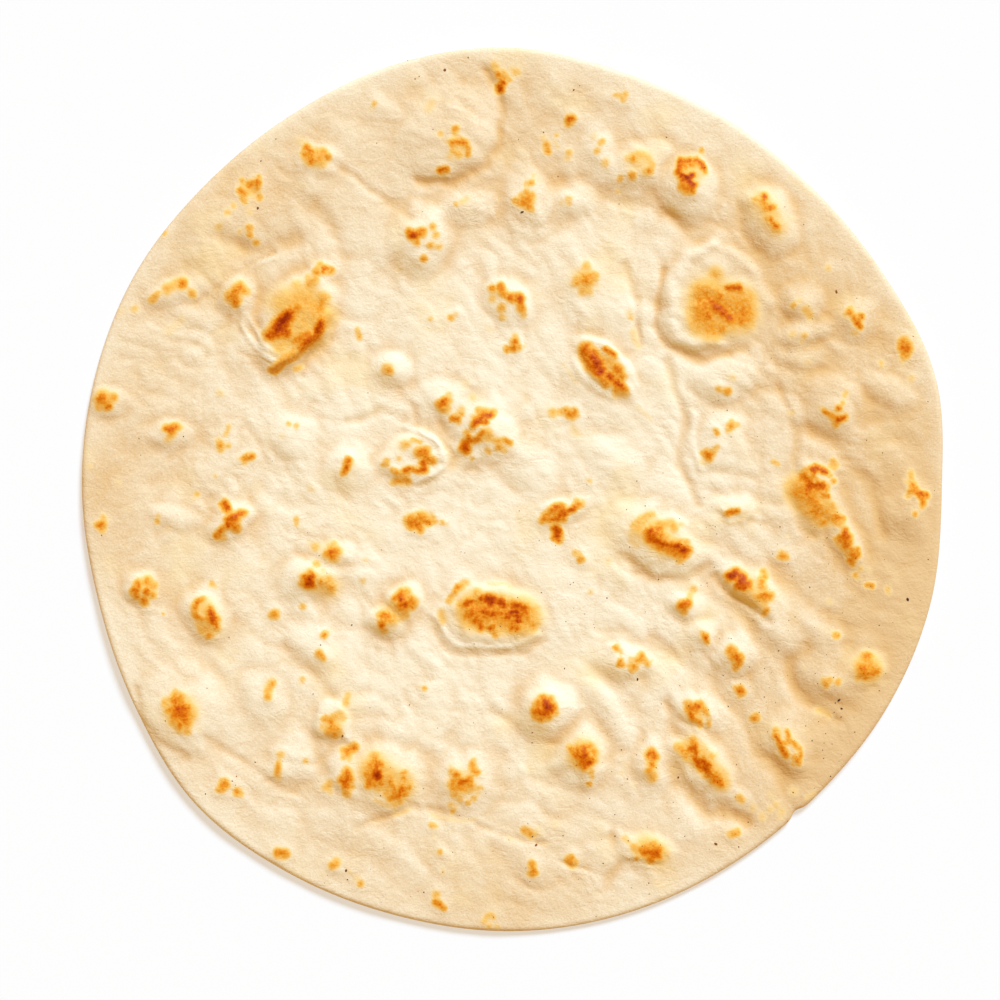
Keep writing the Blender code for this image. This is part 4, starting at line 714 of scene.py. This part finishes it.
def hexagon_place(x, y):
    """Which ring of the hexagon each point is on, from 0 to 1, and how far round that ring, in radians."""
    sixth = math.pi / 3.0
    corner = FIRST_CORNER + sixth * np.floor((np.arctan2(y, x) - FIRST_CORNER) / sixth + 1e-6)
    following = corner + sixth
    first = (x * np.sin(following) - y * np.cos(following)) / math.sin(sixth)
    second = (y * np.cos(corner) - x * np.sin(corner)) / math.sin(sixth)
    ring = first + second
    return ring, corner + sixth * second / np.maximum(ring, 1e-9)


def new_side(rings, round_rings, upper):
    """One side of the bread, upper or under, as an open mesh: the two sides meet at the rim."""
    bm = new_disc(rings)
    flat = np.array([v.co for v in bm.verts])
    ring, angle = hexagon_place(flat[:, 0], flat[:, 1])
    inner_rings = rings - round_rings
    step = np.rint(ring * rings)
    round_angle = np.clip((step - inner_rings) / round_rings, 0.0, 1.0) * math.pi / 2.0
    reach = rim_radius(angle)
    radius = np.minimum(step / inner_rings, 1.0) * (reach - RIM_ROUNDING)
    radius += RIM_ROUNDING * np.sin(round_angle)
    x, y = radius * np.cos(angle), radius * np.sin(angle)
    inward = reach - radius

    lift = sheet_lift(x, y, angle, inward)
    under = np.maximum(lift - PAD_BIAS, 0.0)
    thick = RIM_THICKNESS + (THICKNESS - RIM_THICKNESS) * ease(0.0, RIM_TAPER, inward)
    middle = under + thick / 2.0
    outer = under
    if upper:
        skin = puckers(x, y) * (PUCKER_RIM + (1.0 - PUCKER_RIM) * ease(0.0, PUCKER_TAPER, inward))
        outer = np.maximum(lift + thick + relief(x, y) + skin, under + THINNEST)
        outer += marked(x, y, MARKS)[1]
    z = middle + (outer - middle) * np.cos(round_angle)
    for vert, place in zip(bm.verts, zip(x * MM, y * MM, z * MM)):
        vert.co = place
    return bm


bread_bm = new_side(UNDER_RINGS, UNDER_ROUND_RINGS, False)
bmesh.ops.reverse_faces(bread_bm, faces=bread_bm.faces[:])
upper_bm = new_side(UPPER_RINGS, UPPER_ROUND_RINGS, True)
bread_mesh = bpy.data.meshes.new("bread")
upper_bm.to_mesh(bread_mesh)
upper_bm.free()
bread_bm.from_mesh(bread_mesh)
bmesh.ops.remove_doubles(bread_bm, verts=[v for v in bread_bm.verts if v.is_boundary], dist=MERGE * MM)
bread_bm.normal_update()
bread_points = np.array([v.co for v in bread_bm.verts]) / MM
bread_facing = np.array([v.normal.z for v in bread_bm.verts])
bread_upper = bread_facing > 0.0
bread_middle = (bread_points.min(axis=0) + bread_points.max(axis=0)) / 2.0
shift = Vector((-bread_middle[0], -bread_middle[1], 0.0)) * MM
bmesh.ops.translate(bread_bm, verts=bread_bm.verts[:], vec=shift)
bread_bm.to_mesh(bread_mesh)
bread_bm.free()
bread_mesh.shade_smooth()


def add_attribute(mesh, name, values):
    """Gives every point of a mesh a value, which a material or a scatter then reads by its name."""
    mesh.attributes.new(name, "FLOAT", "POINT").data.foreach_set("value", values.astype(np.float32))


bread_x, bread_y = bread_points[:, 0], bread_points[:, 1]
under_heat = UNDER_HEAT
for wavelength, seed, levels in (UNDER_PATCHES, UNDER_SPOTS):
    under_heat = under_heat * ease(*levels, waves(bread_x, bread_y, wavelength, seed))
heat = np.where(bread_upper, marked(bread_x, bread_y, MARKS)[0], under_heat)
toast_and_shade = RIM_TOAST * ease(*RIM_TOAST_REACH, np.hypot(bread_x, bread_y))
for row_x, row_y, radius, strength in TOASTED:
    toast_and_shade += strength * np.exp(-((np.hypot(bread_x - row_x, bread_y - row_y) / radius) ** 2))

# The smoothed level of the skin: each round takes the mean height of the points next to a point
corners = np.empty(2 * len(bread_mesh.edges), np.int32)
bread_mesh.edges.foreach_get("vertices", corners)
first, second = corners[0::2], corners[1::2]
neighbours = np.bincount(corners)
level = bread_points[:, 2].copy()
for smoothing in range(HOLLOW_SMOOTHING):
    around = np.bincount(first, level[second], len(level)) + np.bincount(second, level[first], len(level))
    level = around / neighbours
# Painted shade: points below the smoothed level get tan and gold in their colour, and points above it get
# paler, as painted light
hollow = ease(*HOLLOW_LEVELNESS, bread_facing) * (level - bread_points[:, 2]) / HOLLOW_DEPTH
hollow_shade = np.clip(HOLLOW_SHADE * hollow, *HOLLOW_SHADE_LIMITS)
hollow_gold_shade = np.clip(HOLLOW_GOLD_SHADE * hollow, 0.0, MOST_GOLD_SHADE)
toast_and_shade += np.where(bread_upper, hollow_shade, UNDER_TOAST)
add_attribute(bread_mesh, "browning", heat)
add_attribute(bread_mesh, "toast_and_shade", toast_and_shade)
add_attribute(bread_mesh, "hollow", np.where(bread_upper, hollow_gold_shade, 0.0))


def seen(red, green, blue):
    """A colour as the eye reads it, 0 to 255, as Blender's linear values."""
    shares = [channel / 255 for channel in (red, green, blue)]
    linear = [((c + 0.055) / 1.055) ** 2.4 if c > 0.04045 else c / 12.92 for c in shares]
    return (*linear, 1.0)


# The plain skin; its tan where it has dried, which is also the painted shade in its hollows; the painted
# golden shade at the bottom of its hollows; and its yellower patches
CREAM = seen(249, 234, 205)
TAN_AND_SHADE = seen(229, 192, 140)
SHADE_GOLD = seen(222, 164, 76)
YELLOW = seen(250, 221, 160)

# Browned dough, from a pale halo to burnt: heat, colour
BROWNING = (
    (0.0, seen(248, 226, 182)),
    (0.6, seen(247, 214, 152)),
    (1.2, seen(243, 191, 100)),
    (1.9, seen(236, 156, 42)),
    (2.7, seen(220, 113, 4)),
    (3.5, seen(192, 76, 2)),
    (4.4, seen(148, 42, 3)),
)
HOTTEST = BROWNING[-1][0]

# Unevenness of the skin, from the finest to the broadest: waves to the metre, detail, roughness
FINE = (1800.0, 3.0, 0.6)
SCORCH = (1000.0, 2.0, 0.6)
CREASING = (560.0, 3.0, 0.55)
MOTTLE = (260.0, 3.0, 0.6)
CLOUDS = (75.0, 5.0, 0.65)
PATCHES = (48.0, 4.0, 0.5)

# How far each unevenness moves the browning and the toasting
SCORCH_HEAT = 2.7
MOTTLE_HEAT = 1.7
CLOUDS_TOAST = 0.9
FINE_TOAST = 1.1

# Where each change sets in and where it is complete, in heat or in the noise's own 0 to 1
UNEVEN_HEAT = (0.5, 2.6)
BROWN_OVER_SKIN = (0.1, 1.0)
DULL_TO_GLAZED = (1.5, 3.5)
YELLOW_PATCHES = (0.52, 0.75)
WRINKLED_CLOUDS = (0.42, 0.62)

# The most that a yellow patch tints the skin, the skin's roughness, how much smoother its darkest
# marks are, and its sheen
MOST_YELLOW = 0.45
SKIN_ROUGHNESS = 0.66
GLAZE = 0.2
SHEEN = 0.1

# The finest relief: its height, the share that each part has in it, and how the wrinkles are drawn.
# The wrinkles have two shares, one everywhere and one where the skin is cloudy
RELIEF_HEIGHT = 0.35
CREASE_SHARE = 0.4
FINE_SHARE = 0.16
WRINKLE_SHARES = (0.2, 0.3)
WRINKLE_SCALE = 150.0
WRINKLE_TURN = 48.0
WRINKLE_LENGTH = 1.5
WRINKLE_WAVER = 0.7
WRINKLE_SHARPNESS = 0.7

dough = bpy.data.materials.new("baked_dough")
dough.use_nodes = True
tree = dough.node_tree
shader = tree.nodes["Principled BSDF"]
shader.inputs["Specular IOR Level"].default_value = SHEEN


def feed(socket, value):
    """Links a node's input to another node's output, or sets it to a plain value."""
    if isinstance(value, bpy.types.NodeSocket):
        tree.links.new(value, socket)
    else:
        socket.default_value = value


def node(kind, **inputs):
    """A new node in the present tree, its inputs fed by name."""
    made = tree.nodes.new(kind)
    for name, value in inputs.items():
        feed(made.inputs[name], value)
    return made


def maths(operation, a, b=0.0, clamp=False):
    """The result of one sum in the present tree."""
    made = tree.nodes.new("ShaderNodeMath")
    made.operation = operation
    made.use_clamp = clamp
    feed(made.inputs[0], a)
    feed(made.inputs[1], b)
    return made.outputs[0]


def blend(share, first, second):
    """The first colour, turning into the second as the share goes from 0 to 1."""
    made = tree.nodes.new("ShaderNodeMix")
    made.data_type = "RGBA"
    feed(made.inputs[0], share)
    feed(made.inputs[6], first)
    feed(made.inputs[7], second)
    return made.outputs[2]


def swing(value, size):
    """A noise of 0 to 1 as one that goes up and down from 0, this much from end to end."""
    return maths("MULTIPLY", maths("SUBTRACT", value, 0.5), size)


def band(value, low, high):
    """A smooth rise from 0 at low to 1 at high."""
    made = node("ShaderNodeMapRange", Value=value)
    made.interpolation_type = "SMOOTHSTEP"
    made.inputs["From Min"].default_value = low
    made.inputs["From Max"].default_value = high
    return made.outputs["Result"]


def skin_noise(scale, detail, roughness):
    """Cloudy noise over the bread, from 0 to 1."""
    made = node("ShaderNodeTexNoise", Vector=place, Scale=scale, Detail=detail, Roughness=roughness)
    return made.outputs["Fac"]


def held(name):
    """The value that each point of the bread holds under this name."""
    made = tree.nodes.new("ShaderNodeAttribute")
    made.attribute_name = name
    return made.outputs["Fac"]


place = node("ShaderNodeTexCoord").outputs["Object"]
fine, scorch, creasing, mottle, clouds = (
    skin_noise(*row) for row in (FINE, SCORCH, CREASING, MOTTLE, CLOUDS)
)

# Browning: a heat that noise makes uneven where the dough is marked, as a colour
heat_in = held("browning")
unevenness = maths("ADD", swing(scorch, SCORCH_HEAT), swing(mottle, MOTTLE_HEAT))
heat_now = maths("ADD", heat_in, maths("MULTIPLY", unevenness, band(heat_in, *UNEVEN_HEAT)))
ramp = node("ShaderNodeValToRGB", Fac=maths("DIVIDE", heat_now, HOTTEST, clamp=True))
for k, (ramp_heat, colour) in enumerate(BROWNING):
    element = ramp.color_ramp.elements[k] if k < 2 else ramp.color_ramp.elements.new(1.0)
    element.position = ramp_heat / HOTTEST
    element.color = colour

# The skin between the marks: cream, drying to tan, with painted shade that turns its hollows tan and
# golden and painted light that makes its crests paler, and yellower in patches
drying = maths("ADD", swing(clouds, CLOUDS_TOAST), swing(fine, FINE_TOAST))
toast_and_shade_now = maths("ADD", held("toast_and_shade"), drying, clamp=True)
skin_colour = blend(held("hollow"), blend(toast_and_shade_now, CREAM, TAN_AND_SHADE), SHADE_GOLD)
yellowing = maths("MULTIPLY", band(skin_noise(*PATCHES), *YELLOW_PATCHES), MOST_YELLOW)
skin_colour = blend(yellowing, skin_colour, YELLOW)
crust_colour = blend(band(heat_now, *BROWN_OVER_SKIN), skin_colour, ramp.outputs["Color"])
feed(shader.inputs["Base Color"], crust_colour)
smoother = maths("MULTIPLY", band(heat_now, *DULL_TO_GLAZED), GLAZE)
feed(shader.inputs["Roughness"], maths("SUBTRACT", SKIN_ROUGHNESS, smoother))

# Relief too fine for the mesh: short creases, grain, and wrinkles that are longer from left to right.
# The turn sets the noise's own grid askew
creases = maths("ABSOLUTE", swing(creasing, 2.0))
drawn = node(
    "ShaderNodeMapping",
    Vector=place,
    Rotation=(0.0, 0.0, math.radians(WRINKLE_TURN)),
    Scale=(1.0, WRINKLE_LENGTH, 1.0),
)
folds = node(
    "ShaderNodeTexNoise",
    Vector=drawn.outputs["Vector"],
    Scale=WRINKLE_SCALE,
    Detail=3.0,
    Distortion=WRINKLE_WAVER,
)
wrinkles = maths("POWER", maths("ABSOLUTE", swing(folds.outputs["Fac"], 2.0)), WRINKLE_SHARPNESS)
everywhere, in_clouds = WRINKLE_SHARES
wrinkled = maths("ADD", maths("MULTIPLY", band(clouds, *WRINKLED_CLOUDS), in_clouds), everywhere)
skin_grain = maths("ADD", maths("MULTIPLY", creases, CREASE_SHARE), maths("MULTIPLY", fine, FINE_SHARE))
skin_height = maths("ADD", skin_grain, maths("MULTIPLY", wrinkles, wrinkled))
bump = node("ShaderNodeBump", Strength=1.0, Distance=RELIEF_HEIGHT * MM, Height=skin_height)
feed(shader.inputs["Normal"], bump.outputs["Normal"])

bread_mesh.materials.append(dough)
bread = bpy.data.objects.new("bread", bread_mesh)
bpy.context.scene.collection.objects.link(bread)
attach(bread, "root")
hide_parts("piadina")


# --------------------------------------------------------------------------------------------------
# Charred flour: flour that dusts the dough burns on the griddle, and its specks stick to the bread.
# They are 0.2 to 1.2 mm across, and the finest lie thickest at the lower right.
# --------------------------------------------------------------------------------------------------
SPECK_SIZE = 0.46
FINE_SPECK_SIZE = 0.26
FINE_SPECKS = 520
FINE_MIDDLE = (62.0, -62.0)
FINE_SPREAD = 58.0
FINE_RANGE = (0.7, 1.5)
PLACES_SEED = 7
FALL_HEIGHT = 50.0

# Each speck is a grain of uneven shape, turned its own way and tilted a little
GRAIN_MOST = (1.4, 1.1, 0.8)
GRAIN_LEAST = 0.5
GRAIN_TILT = 0.4
GRAIN_SEED = 11
CHARRED = (seen(66, 40, 24), seen(156, 94, 44))
CHARRED_LEVELS = (0.35, 0.65)
CHARRED_ROUGHNESS = 0.9

# Larger specks: x, y, and the width of those over the usual size
SPECKS = (
    (-34, 128.5), (-31.5, 128.8), (-30.3, 129.4), (-26.5, 130.3), (-20.3, 125.9, 0.95), (-28, 123.9),
    (-29.2, 123.2), (-40.7, 103.9), (-23.8, 107.8), (-26.9, 83.2), (2.9, 83.1, 0.95), (18.4, 119.9, 0.95),
    (20.2, 121.1), (9.3, 107.2), (1.8, 105.1), (13.7, 94), (32, 85.7), (-13.3, 129.6), (57.6, 96.4),
    (69.7, 81), (46.2, 105.7), (87.4, 79.6), (81.6, 84.7), (97.2, 59.4, 0.95), (106.2, 14.8), (120.3, 46),
    (89.9, 51.2), (-98.6, 15.9), (-111.5, 10.3), (-112, 15.3), (-123.1, -13.7), (-29.4, -12.9),
    (-57.9, -19.8), (-24.8, -10.4), (-14.3, -19), (58.4, -28.1), (43.8, -27), (34.2, -6), (28.3, -32.5),
    (8.7, -30.9), (16, -39.6), (110, -40.7), (118.5, -33, 0.95), (89.2, -29.3), (84, -26), (82.7, -22.3),
    (88.7, -14.3), (94.4, -14.5), (80.3, -11.2), (124.7, -21), (97.3, -6.8), (102.8, -20.5), (111, 11),
    (107.3, -29), (-82.8, -86), (-84, -87.4), (-83, -88.6), (-92.1, -91.3), (-91.5, -59.5),
    (-103.8, -69.2), (-77.2, -81.8), (-85, -44.3), (-49.9, -114.3, 0.95), (-39.5, -91.6), (-26.6, -120.9),
    (-20.9, -114.8), (-50.9, -73.8, 0.95), (-5.7, -128.3), (-55.5, -115.7), (-49.5, -117),
    (-48.2, -40.6, 0.95), (-30.9, -64.6), (-57.5, -46.6), (-59.8, -61.3), (-54.3, -70.8),
    (37.5, -56.9, 0.95), (49.8, -86.4, 0.95), (53.3, -48.7), (15.6, -53.7), (32.7, -78.1), (34.5, -86.8),
    (97.9, -63.1, 0.95), (98.7, -65.7, 0.95), (96.8, -64), (96.5, -66.8), (98.6, -68.2), (102.6, -72.7),
    (87.9, -70.9), (93.4, -76), (93, -78.1), (93.3, -80.6), (67.2, -82.5), (64.8, -44.5), (65.5, -44.7),
    (89.8, -75.3), (93.9, -73.2), (90.7, -55.1), (79.9, -48.3), (110, -60.3), (84.2, -90.9),
    (96.1, -56.2), (71, -53.2), (63.3, -55.8), (95.4, -86), (7.1, -106.7, 0.95), (38.9, -106.8),
    (44.3, -106.5), (6, -104.1), (34.7, -105.3), (51.7, -104), (30.8, -104), (25.1, -128.2),
    (40.9, -118.1), (61, -106.3, 0.95), (70.8, -99.9), (82.5, -99.5), (63.5, -97.9), (67.9, -107.2),
    (-76.4, 84.4, 0.95), (-71, 105.2), (-75.5, 98.6),
)

speck_places = [(x, y, *(size or [SPECK_SIZE])) for x, y, *size in SPECKS]
chance = np.random.default_rng(PLACES_SEED)
for x, y in chance.normal(FINE_MIDDLE, FINE_SPREAD, (FINE_SPECKS, 2)):
    speck_places.append((x, y, FINE_SPECK_SIZE * chance.uniform(*FINE_RANGE)))
bpy.context.view_layer.update()
speck_points, speck_sizes = [], []
for x, y, size in speck_places:
    landed, point, _, _ = bread.ray_cast((x * MM, y * MM, FALL_HEIGHT * MM), (0.0, 0.0, -1.0))
    if landed:
        speck_points.append(point)
        speck_sizes.append(size * MM)
speck_mesh = bpy.data.meshes.new("charred_flour")
speck_mesh.from_pydata(speck_points, [], [])
add_attribute(speck_mesh, "speck_size", np.array(speck_sizes))

char = bpy.data.materials.new("charred_flour")
char.use_nodes = True
tree = char.node_tree
shader = tree.nodes["Principled BSDF"]
shade = node("ShaderNodeTexNoise", Vector=node("ShaderNodeTexCoord").outputs["Object"], Scale=160.0)
feed(shader.inputs["Base Color"], blend(band(shade.outputs["Fac"], *CHARRED_LEVELS), *CHARRED))
shader.inputs["Roughness"].default_value = CHARRED_ROUGHNESS

scatter = bpy.data.node_groups.new("scattered_specks", "GeometryNodeTree")
settings = {"Places": "Geometry", "Roundness": "Float", "Seed": "Int", "Material": "Material"}
for name, kind in settings.items():
    scatter.interface.new_socket(name, in_out="INPUT", socket_type="NodeSocket" + kind)
scatter.interface.new_socket("Specks", in_out="OUTPUT", socket_type="NodeSocketGeometry")
tree = scatter
asked = node("NodeGroupInput").outputs


def chance_vector(most):
    """Three numbers drawn for each speck, from 0 up to these."""
    made = tree.nodes.new("FunctionNodeRandomValue")
    made.data_type = "FLOAT_VECTOR"
    made.inputs["Max"].default_value = most
    feed(made.inputs["Seed"], asked["Seed"])
    return made


grit = node("GeometryNodeMeshIcoSphere", Radius=0.5, Subdivisions=1)
width = node("GeometryNodeInputNamedAttribute", Name="speck_size")
uneven = chance_vector(GRAIN_MOST)
feed(uneven.inputs["Min"], asked["Roundness"])
sized = tree.nodes.new("ShaderNodeVectorMath")
sized.operation = "SCALE"
feed(sized.inputs["Vector"], uneven.outputs["Value"])
feed(sized.inputs["Scale"], width.outputs["Attribute"])
turned = chance_vector((GRAIN_TILT, GRAIN_TILT, math.tau))
stuck = node(
    "GeometryNodeInstanceOnPoints",
    Points=asked["Places"],
    Instance=grit.outputs["Mesh"],
    Rotation=turned.outputs["Value"],
    Scale=sized.outputs["Vector"],
)
joined = node("GeometryNodeRealizeInstances", Geometry=stuck.outputs["Instances"])
coloured = node("GeometryNodeSetMaterial", Geometry=joined.outputs["Geometry"], Material=asked["Material"])
node("NodeGroupOutput", Specks=coloured.outputs["Geometry"])

speck_source = bpy.data.objects.new("speck_places", speck_mesh)
bpy.context.scene.collection.objects.link(speck_source)
scattered = speck_source.modifiers.new("scattered_specks", "NODES")
scattered.node_group = scatter
sockets = {item.name: item.identifier for item in scatter.interface.items_tree if item.in_out == "INPUT"}
scattered[sockets["Roundness"]] = GRAIN_LEAST
scattered[sockets["Seed"]] = GRAIN_SEED
scattered[sockets["Material"]] = char
bpy.context.view_layer.update()
evaluated = speck_source.evaluated_get(bpy.context.evaluated_depsgraph_get())
charred_flour = bpy.data.objects.new("charred_flour", bpy.data.meshes.new_from_object(evaluated))
bpy.context.scene.collection.objects.link(charred_flour)
bpy.data.objects.remove(speck_source)
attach(charred_flour, "root")


# --------------------------------------------------------------------------------------------------
# The studio: a white light table before a white backdrop, a soft cool light from the upper right,
# and a warm even fill that the camera doesn't see. Lengths here are metres.
# --------------------------------------------------------------------------------------------------
PICTURE_WIDTH = 0.300
PICTURE_MIDDLE = (-0.00375, -0.00315)
LENS = 100.0
SENSOR = 36.0
FLOOR_REACH = 3.0
FLOOR_DROP = 0.0001
FLOOR_GREY = (0.45, 0.45, 0.45, 1.0)
FLOOR_ROUGHNESS = 0.9
FLOOR_GLOW = 0.5
WHITE = (1.0, 1.0, 1.0, 1.0)

# The key light: directions round and up, width across, strength, colour. The fill: strength, colour
KEY_DIRECTION = (66.0, 41.0)
KEY_WIDTH = 18.0
KEY_STRENGTH = 4.8
KEY_COLOUR = (0.51, 0.73, 1.0)
FILL_STRENGTH = 0.55
FILL_COLOUR = (1.0, 0.6, 0.1, 1.0)

floor_mesh = bpy.data.meshes.new("floor")
floor_bm = bmesh.new()
bmesh.ops.create_grid(floor_bm, x_segments=1, y_segments=1, size=FLOOR_REACH)
bmesh.ops.translate(floor_bm, verts=floor_bm.verts[:], vec=(0.0, 0.0, -FLOOR_DROP))
floor_bm.to_mesh(floor_mesh)
floor_bm.free()
floor_material = bpy.data.materials.new("white_surface")
floor_material.use_nodes = True
floor_shader = floor_material.node_tree.nodes["Principled BSDF"]
floor_shader.inputs["Base Color"].default_value = FLOOR_GREY
floor_shader.inputs["Roughness"].default_value = FLOOR_ROUGHNESS
floor_shader.inputs["Emission Color"].default_value = WHITE
floor_shader.inputs["Emission Strength"].default_value = FLOOR_GLOW
floor_mesh.materials.append(floor_material)
floor = bpy.data.objects.new("floor", floor_mesh)
bpy.context.scene.collection.objects.link(floor)

azimuth, elevation = (math.radians(a) for a in KEY_DIRECTION)
key_data = bpy.data.lights.new("key", "SUN")
key_data.angle = math.radians(KEY_WIDTH)
key_data.energy = KEY_STRENGTH
key_data.color = KEY_COLOUR
key = bpy.data.objects.new("key", key_data)
along_floor = math.cos(elevation)
key_way = (math.cos(azimuth) * along_floor, math.sin(azimuth) * along_floor, math.sin(elevation))
key.rotation_euler = Vector(key_way).to_track_quat("Z", "Y").to_euler()
bpy.context.scene.collection.objects.link(key)

world = bpy.data.worlds.new("studio")
bpy.context.scene.world = world
world.use_nodes = True
surround = world.node_tree
warm_fill = surround.nodes["Background"]
warm_fill.inputs["Color"].default_value = FILL_COLOUR
warm_fill.inputs["Strength"].default_value = FILL_STRENGTH
backdrop = surround.nodes.new("ShaderNodeBackground")
backdrop.inputs["Color"].default_value = WHITE
rays = surround.nodes.new("ShaderNodeLightPath")
lit_or_seen = surround.nodes.new("ShaderNodeMixShader")
surround.links.new(rays.outputs["Is Camera Ray"], lit_or_seen.inputs["Fac"])
surround.links.new(warm_fill.outputs["Background"], lit_or_seen.inputs[1])
surround.links.new(backdrop.outputs["Background"], lit_or_seen.inputs[2])
surround.links.new(lit_or_seen.outputs["Shader"], surround.nodes["World Output"].inputs["Surface"])
bpy.context.scene.view_settings.view_transform = "Standard"

camera_data = bpy.data.cameras.new("camera")
camera_data.lens = LENS
camera_data.sensor_width = SENSOR
camera = bpy.data.objects.new("camera", camera_data)
top_height = THICKNESS * MM
camera.location = (*PICTURE_MIDDLE, top_height + PICTURE_WIDTH * LENS / SENSOR)
bpy.context.scene.collection.objects.link(camera)
bpy.context.scene.camera = camera
